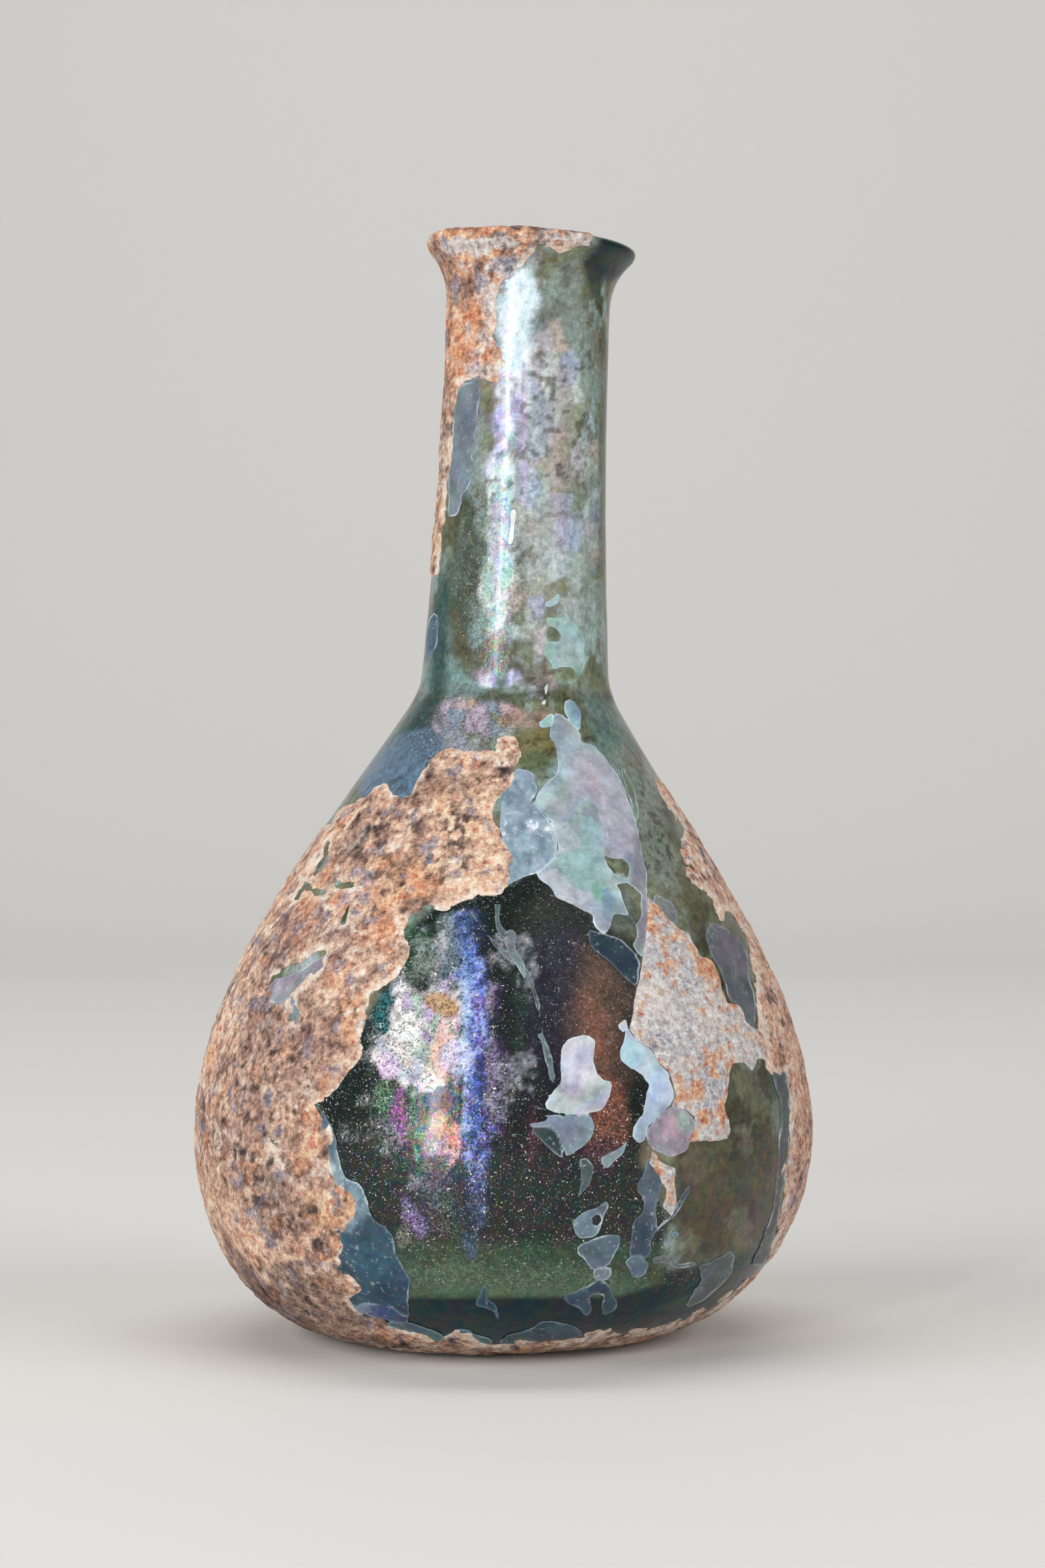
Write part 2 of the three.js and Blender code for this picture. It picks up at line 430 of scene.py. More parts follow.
def ramp(tree, factor, *stops):
    """A colour for each value of the factor, running smoothly through the stops."""
    new = add(tree, "ValToRGB", {"Fac": factor})
    while len(new.color_ramp.elements) < len(stops):
        new.color_ramp.elements.new(0.5)
    for element, (at, shade) in zip(new.color_ramp.elements, stops):
        element.position, element.color = at, shade
    return new.outputs["Color"]


def ranged(tree, factor, low, high, to_low=0.0, to_high=1.0):
    """The factor's range from low to high, stretched to another range and held at its ends."""
    values = {"Value": factor, "From Min": low, "From Max": high}
    values |= {"To Min": to_low, "To Max": to_high}
    return add(tree, "MapRange", values, interpolation_type="SMOOTHSTEP").outputs["Result"]


def layered(tree, factor, under, over, kind="MIX"):
    """One colour laid over another, as far as the factor says."""
    new = add(tree, "Mix", data_type="RGBA", blend_type=kind)
    for key, value in ((0, factor), (6, under), (7, over)):
        if isinstance(value, bpy.types.NodeSocket):
            tree.links.new(value, new.inputs[key])
        else:
            new.inputs[key].default_value = value
    return new.outputs[2]


def sums(tree, kind, a, b):
    """One of the Math node's sums of two numbers."""
    return add(tree, "Math", {0: a, 1: b}, operation=kind).outputs[0]


def plus_part(tree, a, b, share):
    """One number plus a share of another."""
    return sums(tree, "ADD", a, sums(tree, "MULTIPLY", b, share))


def relief(tree, shader, height, mm):
    """Bump under the shader: the height's 0 to 1 stands for so many millimetres."""
    bump = add(tree, "Bump", {"Height": height, "Distance": mm / 1000, "Strength": 1.0})
    tree.links.new(bump.outputs[0], shader.inputs["Normal"])


# %% [markdown]
# ## The glass
# The vessel is one closed wall of clear glass, thick in the floor and rounded at the lip. A
# Solidify modifier can't thin from floor to shoulder, so both faces are worked out from the
# profile. Clear glass is a plain Transmission value on the shader. Lamps shine through it by a
# Transparent shader that only shadow rays meet, which keeps the inside lit without grain.

# %% Glass material
GLASS_TINT = colour(150, 190, 178)

sea_green_glass, tree, shader = material_named(
    "sea_green_glass", Base_Color=GLASS_TINT, Roughness=0.04, IOR=1.5, Transmission_Weight=1.0
)
relief(tree, shader, plus_part(tree, cloud(tree, 9, 2), cloud(tree, 0.9, 2), 0.12), 0.12)
through = add(tree, "BsdfTransparent", {"Color": GLASS_TINT})
is_shadow = add(tree, "LightPath").outputs["Is Shadow Ray"]
either = add(tree, "MixShader", {0: is_shadow, 1: shader.outputs[0], 2: through.outputs[0]})
tree.links.new(either.outputs[0], tree.nodes["Material Output"].inputs["Surface"])

# %% Glass wall
GLASS_DEPTH = 0.5  # glass under the outermost surface, which is the crust's
TURNS = 216
UNEVENNESS = 0.05  # of the blown wall, outwards
FULL_TURN = 2 * math.pi


def turned(profile, columns):
    """A profile that starts and ends on the axis, turned into a closed skin, with one point at
    each pole."""
    angles = np.arange(columns) * FULL_TURN / columns
    ring = profile[1:-1]
    angle, radius = np.meshgrid(angles, ring[:, 0])
    height = np.broadcast_to(ring[:, 1:2], angle.shape)
    points = strayed(radius * np.cos(angle), radius * np.sin(angle), height).reshape(-1, 3)
    poles = strayed(np.zeros(2), np.zeros(2), profile[[0, -1], 1])
    rows, after = len(ring), np.roll(np.arange(columns), -1)
    low = (np.arange(rows - 1)[:, None] * columns + np.arange(columns)).ravel()
    right = (np.arange(rows - 1)[:, None] * columns + after).ravel()
    last = (rows - 1) * columns
    base, top = len(points), len(points) + 1
    faces = np.concatenate([
        np.stack([low, right, right + columns], 1),
        np.stack([low, right + columns, low + columns], 1),
        np.stack([np.full(columns, base), after, np.arange(columns)], 1),
        np.stack([np.full(columns, top), last + np.arange(columns), last + after], 1),
    ])
    return np.concatenate([points, poles]), faces


def wall_at(height):
    """Glass thickness: it thins from the floor to the body's wall, then to the neck's."""
    upper = BODY_WALL + (NECK_WALL - BODY_WALL) * smooth(BELLY_HEIGHT, BODY_HEIGHT, height)
    return FLOOR + (upper - FLOOR) * smooth(0, FLOOR_THINS_OVER, height)


THROAT = WAY[-1] - 1.0
NECK_END = WAY[np.argmin(np.hypot(OUTSIDE[:, 0] - NECK_TOP_RADIUS, OUTSIDE[:, 1] - FLARE_START))]


def lining(depth_past_wall, steps):
    """Profile of the inside from the neck's top down to the axis, past the glass's own wall."""
    ways = np.linspace(NECK_END, 0, steps)
    point = np.stack([np.interp(ways, WAY, OUTSIDE[:, i]) for i in (0, 1)], 1)
    normal = np.stack([np.interp(ways, WAY, OUTWARD[:, i]) for i in (0, 1)], 1)
    inside = point - normal * (wall_at(point[:, 1]) + depth_past_wall)[:, None]
    inside[-1, 0] = 0
    return inside


outer_ways = np.concatenate([
    np.linspace(0, LIP_TOP - 12, 190),
    np.linspace(LIP_TOP - 11.8, THROAT, 46),
])
surface = np.stack([np.interp(outer_ways, WAY, OUTSIDE[:, i]) for i in (0, 1)], 1)
normal = np.stack([np.interp(outer_ways, WAY, OUTWARD[:, i]) for i in (0, 1)], 1)
outer = surface - GLASS_DEPTH * normal
outer[0, 0] = 0
points, faces = turned(np.concatenate([outer, lining(0.0, 100)]), TURNS)
radial = points * [1, 1, 0]
outwards = radial / np.maximum(np.linalg.norm(radial, axis=1)[:, None], 5)
points += outwards * UNEVENNESS * noise(points, 11, 5)[:, None]
glass_wall = piece("glass_wall", points, faces, sea_green_glass)

# %% [markdown]
# ## The film inside
# Mud and decay left a thin film on the inside wall, thickest low down. Its colours here run from
# dark olive to nearly black: partly the film's own, partly painted shade. It hides the far side of
# the bottle and makes the bare window in front look nearly black. It is a shell just inside the
# wall, left out behind the window.

# %% Inner film
dark_film_and_shade, tree, shader = material_named("inner_film", Roughness=0.85, Specular_IOR_Level=0.25)
mottle = cloud(tree, 6, 7, 0.65)
# The film's colours, dark olive to nearly black: partly its own stains, partly painted shade.
stains = ramp(
    tree, mottle, (0.3, colour(24, 24, 18)), (0.5, colour(50, 54, 38)), (0.72, colour(86, 90, 66))
)
tree.links.new(stains, shader.inputs["Base Color"])
relief(tree, shader, cloud(tree, 0.8, 4), 0.15)

WINDOW = [
    (655, 1350), (700, 1335), (745, 1330), (800, 1300), (850, 1330), (900, 1380), (960, 1420),
    (960, 1560), (985, 1640), (960, 1740), (1010, 1830), (990, 1905), (1090, 1900), (1130, 1880),
    (1080, 1990), (900, 2030), (650, 2030), (540, 1985), (500, 1900), (470, 1700), (470, 1640),
    (540, 1540), (600, 1450), (610, 1390),
]
FILM_THICKNESS, FILM_GAP = 0.25, 0.12
angle, way, triangles = grid_over(
    np.radians(np.arange(0, 361, 2.5)),
    np.concatenate([np.arange(2, 120, 1.5), np.arange(120, 165, 2.5)]),
)
places, pixels, front = place_of(angle, way)
height = np.interp(way, WAY, OUTSIDE[:, 1])
covered = -inside_of(pixels, WINDOW) + 1.2 * noise(places, 6, 11)
covered = np.where(front > 0.5, covered, 3.0)
under = wall_at(height) + FILM_GAP
rows = np.concatenate(
    [on_bottle(angle, way, under), on_bottle(angle, way, under + FILM_THICKNESS)], axis=1
)
points, faces, _ = closed(*cut(triangles, covered, rows))
inner_film = piece("inner_film", points, faces, dark_film_and_shade)

# %% [markdown]
# ## Painting
# Colours that differ from place to place are worked out on the points of each piece and kept
# there as an attribute, so that they come out the same in any program. Each zone is an outline
# read from the photograph. Chance fills it, because no two flecks of the real thing are alike.

# %% Painting
def blend(under, over, share):
    """Mixes a colour over others, by a share for each place."""
    return under * (1 - share[:, None]) + np.array(over) * share[:, None]


def blob(x, y, half_width, half_height, lean=0.0):
    """Outline of an ellipse in pixels, leaning clockwise by so many degrees."""
    turn = np.linspace(0, FULL_TURN, 20, endpoint=False)
    lean = math.radians(lean)
    across, down = half_width * np.cos(turn), half_height * np.sin(turn)
    return np.stack([x + across * math.cos(lean) - down * math.sin(lean),
                     y + across * math.sin(lean) + down * math.cos(lean)], 1)


def painted(ground, zones, places, pixels, front):
    """Lays zones over a ground colour. A zone is its outline, colour, strength, softness and
    raggedness in mm: its weight rises over the softness around its ragged edge. Its colour may
    be a function of places and pixels that gives one for each."""
    coat = ground.copy()
    ragged = noise(places, 3.2, 61, 4)
    for outline, shade, strength, softness, rag in zones:
        distance = inside_of(pixels, outline) + rag * ragged
        weight = strength * front * smooth(-softness, softness, distance)
        coat = blend(coat, shade(places, pixels) if callable(shade) else shade, weight)
    return coat


def stepped(shades, at, crisp=0.0):
    """Shade at a place from 0 to 1 along a row of shades. Where it is crisp, the change from
    shade to shade is narrow, as at the edges of flakes."""
    at = np.clip(at, 0, 1) * (len(shades) - 1)
    whole = np.floor(at)
    at = whole + smooth(crisp / 2, 1 - crisp / 2, at - whole)
    stops = np.arange(len(shades))
    return np.stack([np.interp(at, stops, [shade[i] for shade in shades]) for i in range(4)], 1)


def mottled(places, shades, size, seed, crisp=0.0):
    """Each place takes a mix of neighbouring shades, chosen by noise."""
    return stepped(shades, 0.5 + 0.62 * noise(places, size, seed, 4), crisp)


def islands(coat, places, layers):
    """Lays crisp-edged islands over a coat, as where thin layers have flaked away: each is the
    part where its own noise is above a level. A layer is its shade, size, level, strength, seed."""
    tall = places * [1, 1, 0.6]
    for shade, size, level, strength, seed in layers:
        share = smooth(level, level + 0.05, noise(tall, size, seed, 4))
        coat = blend(coat, shade, strength * share)
    return coat


NEAR_BLACK = colour(24, 31, 29)
WAVER, SEAM_WIDTH, SEAM_STRENGTH = 9, 6, 0.4  # pixels, pixels, share


def cells(places, pixels, box, count, shades, seed, seam=NEAR_BLACK):
    """Crisp-edged patches: each place takes the shade of the nearest of a number of points that
    chance deals into a box of the photograph, with heights counted for less, so that patches
    stand upright. The borders waver by noise, and where the two nearest points are almost
    equally far the shade turns to the seam's."""
    deal = np.random.default_rng(seed)
    centres = deal.uniform(*box, (count, 2))
    picked = np.array(shades)[deal.integers(len(shades), size=count)]
    waver = WAVER * np.stack([noise(places, 1.8, seed + i, 4) for i in (1, 2)], 1)
    apart = np.sqrt((((pixels + waver)[:, None] - centres) ** 2 * [1, 0.5]).sum(2))
    nearest, next_one = np.partition(apart, 1, axis=1)[:, :2].T
    coat = picked[np.argmin(apart, axis=1)]
    return blend(coat, seam, SEAM_STRENGTH * (1 - smooth(0, SEAM_WIDTH, next_one - nearest)))


def pearly(places, size, seed, paleness=0.55):
    """Rainbow colours of a thin layer: red, green and blue are cosines of its thickness, a third
    of a turn apart, over a pale ground."""
    thick = 1.5 * noise(places, size, seed, 2) + 0.5 * noise(places, size / 5, seed + 1, 2)
    phase = FULL_TURN * (thick[:, None] + np.array([0, 1 / 3, 2 / 3]))
    rgb = paleness + (0.95 - paleness) * 0.5 * (1 + np.cos(phase))
    return np.concatenate([rgb**1.6, np.ones((len(places), 1))], 1)


# %% [markdown]
# ## The earth crust
# The crust is baked-on earth and lime, half a millimetre thick, peach and brown with dark pits.
# Its colour is lighter on lumps and darker in hollows and pits: partly the earth's own tone,
# partly painted light and shade.
# Displacement in the material would not reach the exported mesh, so its height is worked out
# here: lumps, low terraces where layers broke off, and pits, thinning to its ragged edge.

# %% Crust material
earth_crust, tree, shader = material_named("earth_crust", Roughness=0.9, Specular_IOR_Level=0.3)
paint = add(tree, "Attribute", attribute_name="paint")
grains = ramp(
    tree, cloud(tree, 0.8, 8, 0.82), (0.37, colour(64, 58, 60)), (0.46, colour(162, 160, 160)),
    (0.54, colour(210, 208, 206)), (0.62, colour(255, 253, 250)),
)
base = layered(tree, 0.9, paint.outputs["Color"], grains, "OVERLAY")
tree.links.new(base, shader.inputs["Base Color"])
grit = plus_part(tree, cloud(tree, 0.5, 5, 0.75), cloud(tree, 1.5, 5, 0.65), 1.6)
relief(tree, shader, grit, 0.5)

# %% The edges of the crust, in pixels of the photograph
BODY_CRUST = [
    (100, 1235), (492, 1235), (509, 1209), (529, 1197), (545, 1194), (559, 1179), (572, 1172),
    (580, 1176), (585, 1192), (598, 1195), (612, 1192), (618, 1176), (632, 1156), (643, 1143),
    (655, 1126), (675, 1119), (698, 1125), (724, 1128), (741, 1125), (746, 1108), (758, 1101),
    (771, 1103), (778, 1113), (780, 1131), (774, 1149), (773, 1166), (758, 1186), (748, 1196),
    (739, 1209), (738, 1225), (746, 1242), (758, 1262), (769, 1272), (773, 1287), (764, 1305),
    (766, 1318), (758, 1332), (754, 1342), (734, 1345), (718, 1340), (708, 1348), (681, 1360),
    (661, 1366), (648, 1360), (632, 1361), (622, 1370), (607, 1381), (602, 1393), (603, 1406),
    (612, 1419), (612, 1436), (603, 1454), (588, 1468), (572, 1481), (557, 1487), (552, 1502),
    (544, 1535), (543, 1572), (535, 1595), (517, 1613), (507, 1628), (495, 1643), (482, 1653),
    (469, 1650), (465, 1658), (480, 1672), (491, 1687), (498, 1709), (498, 1732), (493, 1750),
    (509, 1765), (520, 1787), (535, 1809), (537, 1824), (517, 1844), (513, 1861), (511, 1887),
    (517, 1905), (532, 1924), (537, 1939), (526, 1953), (539, 1972), (561, 1978), (587, 1990),
    (613, 1994), (635, 2002), (654, 2013), (665, 2005), (679, 2000), (702, 2003), (720, 2016),
    (742, 2022), (772, 2016), (800, 2014), (813, 2012), (844, 2013), (862, 2012), (877, 2008),
    (895, 2003), (913, 2001), (928, 2003), (959, 1999), (984, 1997), (1004, 1993), (1022, 1984),
    (1050, 1970), (1073, 1962), (1091, 1951), (1107, 1936), (1122, 1923), (1137, 1913),
    (1150, 1900), (1165, 1865), (1173, 1835), (1178, 1813), (1180, 1776), (1176, 1765),
    (1184, 1732), (1189, 1713), (1184, 1695), (1188, 1658), (1189, 1628), (1184, 1606),
    (1176, 1622), (1165, 1613), (1154, 1602), (1151, 1572), (1143, 1530), (1138, 1484),
    (1135, 1461), (1126, 1441), (1128, 1418), (1118, 1391), (1098, 1366), (1090, 1365),
    (1092, 1383), (1078, 1371), (1072, 1351), (1058, 1335), (1042, 1325), (1032, 1312),
    (1030, 1285), (1022, 1269), (1027, 1242), (1015, 1219), (1002, 1202), (989, 1179),
    (984, 1154), (1400, 1154), (1400, 2200), (100, 2200),
]
RIM_AND_NECK_CRUST = [
    (500, 250), (893, 250), (893, 345), (890, 356), (891, 370), (868, 372), (842, 382), (824, 373),
    (806, 376), (792, 388), (784, 397), (783, 410), (765, 413), (754, 417), (748, 429), (743, 453),
    (748, 470), (742, 491), (739, 505), (748, 523), (754, 543), (752, 558), (745, 573), (733, 573),
    (710, 566), (692, 571), (683, 582), (680, 608), (677, 646), (671, 715), (665, 767), (662, 801),
    (657, 842), (655, 860), (643, 866), (640, 873), (500, 873),
]
CRUST_SLITS = [
    [(489, 1255), (493, 1256), (487, 1282), (478, 1302), (469, 1313), (467, 1309), (475, 1296),
     (484, 1278)],
    [(453, 1320), (459, 1323), (467, 1331), (487, 1334), (485, 1341), (470, 1341), (458, 1334)],
    [(497, 1321), (506, 1320), (514, 1324), (528, 1321), (534, 1330), (530, 1344), (526, 1334),
     (514, 1331), (502, 1330)],
    [(526, 1347), (530, 1348), (520, 1366), (513, 1384), (510, 1381), (517, 1362)],
    [(447, 1333), (451, 1334), (444, 1347), (440, 1346)],
    [(429, 1490), (437, 1494), (446, 1515), (442, 1536), (438, 1520)],
    [(454, 1620), (462, 1628), (469, 1643), (464, 1650), (459, 1637)],
    [(486, 1428), (472, 1428), (455, 1435), (426, 1451), (408, 1464), (403, 1481), (408, 1497),
     (423, 1501), (436, 1492), (456, 1473), (479, 1446)],
    [(404, 1712), (411, 1716), (424, 1740), (421, 1746), (410, 1730)],
]


# %% How far crust reaches, in front and behind
RIM_LINE = 66  # height in mm of the crust's upper edge behind
STRIP_FROM, RING_FROM = 122, 24  # degrees, where the neck's strip and the rim's ring begin
STRIP_ABOVE, RING_ABOVE = 97, 134  # heights in mm
DEGREES_PER_RADIAN, NECK_RADIUS = 57.3, 11


def body_crust(angle, way, places, pixels, front):
    """Signed distance into the crust on the body. In front it is read from the photograph, less
    the slits. Behind, crust lies under a wavering line, with a few bare patches by chance."""
    rag = 0.35 * noise(places, 2.2, 21) + 0.12 * noise(places, 0.8, 22)
    seen = np.minimum(inside_of(pixels, BODY_CRUST), -inside_any(pixels, CRUST_SLITS)) + rag
    rim_line = RIM_LINE + 7 * noise(places * [1, 1, 0.2], 20, 23)
    behind = np.minimum(rim_line - places[:, 2], 7 * (noise(places, 15, 24) + 0.72)) + 2 * rag
    under_base = way - 9 - 3 * noise(places, 7, 25)
    return np.minimum(front * seen + (1 - front) * behind, under_base)


def neck_crust(angle, way, places, pixels, front):
    """Signed distance into the crust on rim and neck. Behind, it goes round the rim and down the
    neck on the side of the strip that shows in front."""
    rag = 0.25 * noise(places, 1.8, 31) + 0.1 * noise(places, 0.7, 32)
    seen = inside_of(pixels, RIM_AND_NECK_CRUST) + rag
    degrees = (np.degrees(angle) + 90) % 360 - 90
    around = (degrees - STRIP_FROM) / DEGREES_PER_RADIAN * NECK_RADIUS + 3 * noise(places, 12, 33)
    strip = np.minimum(around, places[:, 2] - STRIP_ABOVE - 2 * noise(places, 9, 34))
    above = places[:, 2] - RING_ABOVE - 1.6 * noise(places, 8, 35)
    ring = np.minimum(above, degrees - RING_FROM)
    behind = np.maximum(strip, ring) + 2 * rag
    return front * seen + (1 - front) * behind


def crust_lumps(places):
    """Lumps, low terraces where layers broke off, the brinks between them, and pits: each is
    noise brought to the range from 0 to 1."""
    lumps = np.clip(0.5 + 0.6 * noise(places, 3.4, 41, 4), 0, 1)
    layers = (0.5 + 0.5 * noise(places, 9, 42, 4)) * 3 % 1
    brinks = 1 - smooth(0.0, 0.16, np.abs(layers - 0.5))
    pits = smooth(0.35, 0.65, noise(places, 1.5, 43, 3))
    return lumps, smooth(0.42, 0.58, layers), brinks, pits


def crust_relief(places, cover, swell=1.0):
    """Depth of the crust's top: less on lumps, more on low terraces and in pits, and falling to
    the edge over the last half millimetre."""
    lumps, low, _, pits = crust_lumps(places)
    depth = 0.02 + swell * (0.22 * (1 - lumps) + 0.1 * low + 0.12 * pits)
    depth += 0.06 * noise(places, 0.9, 44, 2) * swell
    return np.clip(depth, 0.0, 0.4) + 0.16 * (1 - smooth(0, 0.6, cover))


# %% Colours of the crust
DARK, CREAM, RUST = colour(58, 46, 50), colour(246, 228, 212), colour(222, 158, 118)
EARTH = (colour(78, 62, 60), colour(120, 94, 84), colour(164, 132, 118), colour(200, 166, 146),
         colour(224, 190, 166), colour(238, 208, 184), CREAM)
GREY_FLECK, UMBER, CHALK = colour(130, 136, 160), colour(108, 86, 78), colour(216, 212, 212)


def flecked(places, pixels):
    """Rust-coloured earth with small pale flecks of lime and a few dark pits."""
    shades = (UMBER, colour(190, 122, 82), colour(222, 154, 110), colour(236, 188, 150), CHALK,
              CHALK)
    return stepped(shades, 0.42 + 0.6 * noise(places, 1.5, 57, 5), 0.6)


CRUST_ZONES = [
    (blob(700, 1240, 62, 95, 20), colour(244, 208, 174), 0.35, 2.0, 2.5),
    (blob(610, 1310, 70, 40, -30), colour(240, 192, 152), 0.35, 2.0, 2.5),
    (blob(548, 1250, 52, 15, -38), DARK, 0.5, 0.8, 2.5),
    (blob(482, 1325, 24, 12, -20), DARK, 0.45, 0.8, 1.5),
    (blob(680, 1180, 36, 14, -10), UMBER, 0.55, 0.8, 2.0),
    (blob(671, 1285, 13, 28, 10), UMBER, 0.45, 0.8, 1.5),
    (blob(626, 1272, 14, 14), UMBER, 0.5, 0.8, 1.5),
    (blob(680, 1316, 24, 16), UMBER, 0.5, 0.8, 1.5),
    (blob(470, 1430, 80, 50, -20), colour(142, 118, 116), 0.35, 2.0, 3.0),
    (blob(420, 1560, 80, 120), colour(146, 118, 110), 0.35, 2.0, 3.0),
    (blob(380, 1740, 90, 90), colour(150, 118, 104), 0.3, 2.0, 3.0),
    (blob(500, 1560, 34, 50), colour(150, 118, 104), 0.3, 2.0, 3.0),
    (blob(500, 1812, 44, 30), colour(238, 188, 148), 0.5, 1.0, 2.0),
    (blob(330, 1830, 30, 110), colour(222, 180, 152), 0.3, 1.5, 2.5),
    (blob(430, 1830, 34, 30), DARK, 0.4, 0.8, 3.0),
    (blob(402, 1768, 24, 14), DARK, 0.4, 0.8, 2.5),
    (blob(438, 1916, 34, 18, 20), DARK, 0.35, 0.8, 2.5),
    (blob(360, 1950, 130, 44, 38), UMBER, 0.6, 2.0, 3.0),
    (blob(480, 1970, 110, 60, 24), UMBER, 0.6, 2.0, 3.0),
    (blob(760, 2050, 330, 26), UMBER, 0.35, 1.5, 2.5),
    ([(980, 1130), (1400, 1130), (1400, 1950), (1150, 1950), (1165, 1700), (1120, 1500),
      (1040, 1350)], colour(228, 184, 164), 0.4, 2.0, 1.0),
    ([(600, 330), (900, 330), (900, 400), (790, 410), (750, 470), (745, 590), (640, 620),
      (640, 880), (610, 880)], flecked, 0.55, 1.0, 1.5),
    (blob(670, 700, 12, 150), UMBER, 0.4, 1.0, 1.5),
    (blob(660, 400, 16, 40), UMBER, 0.5, 1.0, 1.5),
    (blob(700, 430, 44, 10, -34), UMBER, 0.5, 0.6, 1.5),
    (blob(745, 366, 80, 9, -3), CHALK, 0.8, 0.3, 1.6),
    (blob(870, 360, 60, 9, 4), CHALK, 0.75, 0.3, 1.6),
    (blob(775, 398, 34, 16, 10), CHALK, 0.8, 0.3, 1.6),
    (blob(735, 480, 14, 50), CHALK, 0.55, 0.3, 2.0),
    (blob(722, 555, 30, 10), CHALK, 0.6, 0.3, 1.2),
]


def crust_paint(places, pixels, front, cover):
    """Colours of the crust: a row of earths by how high a lump stands, rust-coloured patches and
    pale brinks, then the zones, and over them dark pits, grey flecks and pale broken edges. The
    lighter lumps and pale brinks are partly painted light, the darker low parts and pits partly
    painted shade."""
    lumps, _, brinks, pits = crust_lumps(places)
    # Higher lumps take lighter earths: partly the earth's own tone, partly painted light on the
    # lumps and painted shade in the hollows between.
    tone = 0.36 + 0.3 * lumps + 0.08 * noise(places, 8, 45) + 0.36 * noise(places, 1.3, 46, 4)
    coat = stepped(EARTH, tone, 0.5)
    coat = blend(coat, RUST, 0.6 * smooth(0.1, 0.5, noise(places, 3.5, 47, 5)))
    coat = blend(coat, CREAM, 0.8 * brinks * smooth(-0.3, 0.2, noise(places, 3, 48, 4)))
    coat = painted(coat, CRUST_ZONES, places, pixels, front)
    gathered = smooth(-0.35, 0.45, noise(places, 6, 49, 4))
    # Dark pits: partly dark earth, partly painted shade in the hollows.
    coat = blend(coat, DARK, 0.9 * pits * gathered)
    coat = blend(coat, DARK, 0.7 * gathered * smooth(0.35, 0.55, noise(places, 0.8, 56, 4)))
    coat = blend(coat, GREY_FLECK, 0.55 * smooth(0.42, 0.54, noise(places, 1.8, 50, 5)))
    pale = 0.75 * (1 - smooth(0.2, 1.1, cover)) * smooth(-0.5, 0.2, noise(places, 2.5, 52))
    return blend(coat, CREAM, pale)


def pale_paint(places, pixels, front, cover):
    """Colours of the pale patch: bluish white, with rust-coloured grains that gather towards its
    edges and in a few places by chance."""
    shades = (colour(184, 184, 190), colour(202, 199, 201), colour(218, 209, 203))
    coat = mottled(places, shades, 5, 53)
    grains = noise(places, 1.1, 54, 5) + 0.5 * noise(places, 8, 55)
    grains += 0.3 * (1 - smooth(0.2, 3.0, cover))
    coat = blend(coat, colour(222, 182, 156), 0.75 * smooth(0.26, 0.4, grains))
    return blend(coat, colour(212, 148, 106), 0.65 * smooth(0.62, 0.76, grains))


# %% Crust pieces
CRUST_FLOOR = 0.62


def crust(name, angles, ways, reach, paint_of=crust_paint, swell=1.0):
    """One piece of crust: a grid over part of the bottle, cut by the field reach."""
    angle, way, triangles = grid_over(np.radians(angles), ways)
    places, pixels, front = place_of(angle, way)
    cover = reach(angle, way, places, pixels, front)
    depth = crust_relief(places, cover, swell)
    paint = paint_of(places, pixels, front, cover)
    rows = np.concatenate(
        [on_bottle(angle, way, depth), on_bottle(angle, way, CRUST_FLOOR), paint], axis=1
    )
    points, faces, extra = closed(*cut(triangles, cover, rows))
    made = piece(name, points, faces, earth_crust, extra)


for name, angles, ways, reach in (
    ("crust_left", (176, 272.1, 0.52), (17, up_to(79), 0.36), body_crust),
    ("crust_right", (268, 365.1, 0.52), (17, up_to(79), 0.36), body_crust),
    ("crust_back", (4, 177.1, 0.95), (17, up_to(76), 0.64), body_crust),
    ("crust_under_base", (0, 360.1, 2.0), (6, 17.3, 0.6), body_crust),
    ("crust_neck", (0, 360.1, 1.7), (up_to(90), THROAT, 0.34), neck_crust),
):
    crust(name, np.arange(*angles), np.arange(*ways), reach)

# %% Pale crust with orange grains
PALE_CRUST = [
    (974, 1343), (992, 1361), (1005, 1378), (1022, 1393), (1035, 1398), (1042, 1414), (1055, 1434),
    (1072, 1441), (1082, 1468), (1086, 1484), (1093, 1502), (1110, 1506), (1117, 1517),
    (1121, 1532), (1142, 1545), (1150, 1560), (1152, 1590), (1139, 1587), (1132, 1606),
    (1121, 1595),
    (1104, 1595), (1097, 1609), (1095, 1635), (1090, 1658), (1095, 1680), (1099, 1698),
    (1095, 1711), (1066, 1713), (1036, 1713), (1043, 1698), (1047, 1676), (1032, 1665),
    (1010, 1661), (1017, 1643), (1012, 1628), (1004, 1606), (992, 1595), (977, 1572), (958, 1561),
    (947, 1543), (951, 1517), (958, 1480), (966, 1444), (972, 1395),
]
SMALL_CRUST = [
    (982, 1726), (993, 1743), (1016, 1754), (1014, 1776), (1019, 1805), (1010, 1826), (997, 1813),
    (1003, 1787), (992, 1765), (977, 1746),
]


def pale_reach(angle, way, places, pixels, front):
    """Signed distance into the pale patch and the small flake under it."""
    rag = 0.14 * noise(places, 1.2, 51)
    return np.where(front > 0.9, inside_any(pixels, [PALE_CRUST, SMALL_CRUST]) + rag, -5)


angles, ways = np.arange(288, 330, 0.5), np.arange(34, 100, 0.34)
crust("pale_crust_patch", angles, ways, pale_reach, pale_paint, 0.5)

# %% [markdown]
# ## The stained skin
# Over most of the bottle the glass looks olive or grey-green, because of what has settled in its
# weathered outer layer, and in the bare window nearly black, which is painted shade. One thin
# skin stands for that layer. Its colours are painted on its points, zone over zone as a restorer
# would retouch, and the shader adds the fine mottling and painted glints. Some zones are painted
# light: the long highlight down the neck and the lamp's rainbow reflection in the window. In the
# window its alpha is lower, so that the dark inside is seen through it.

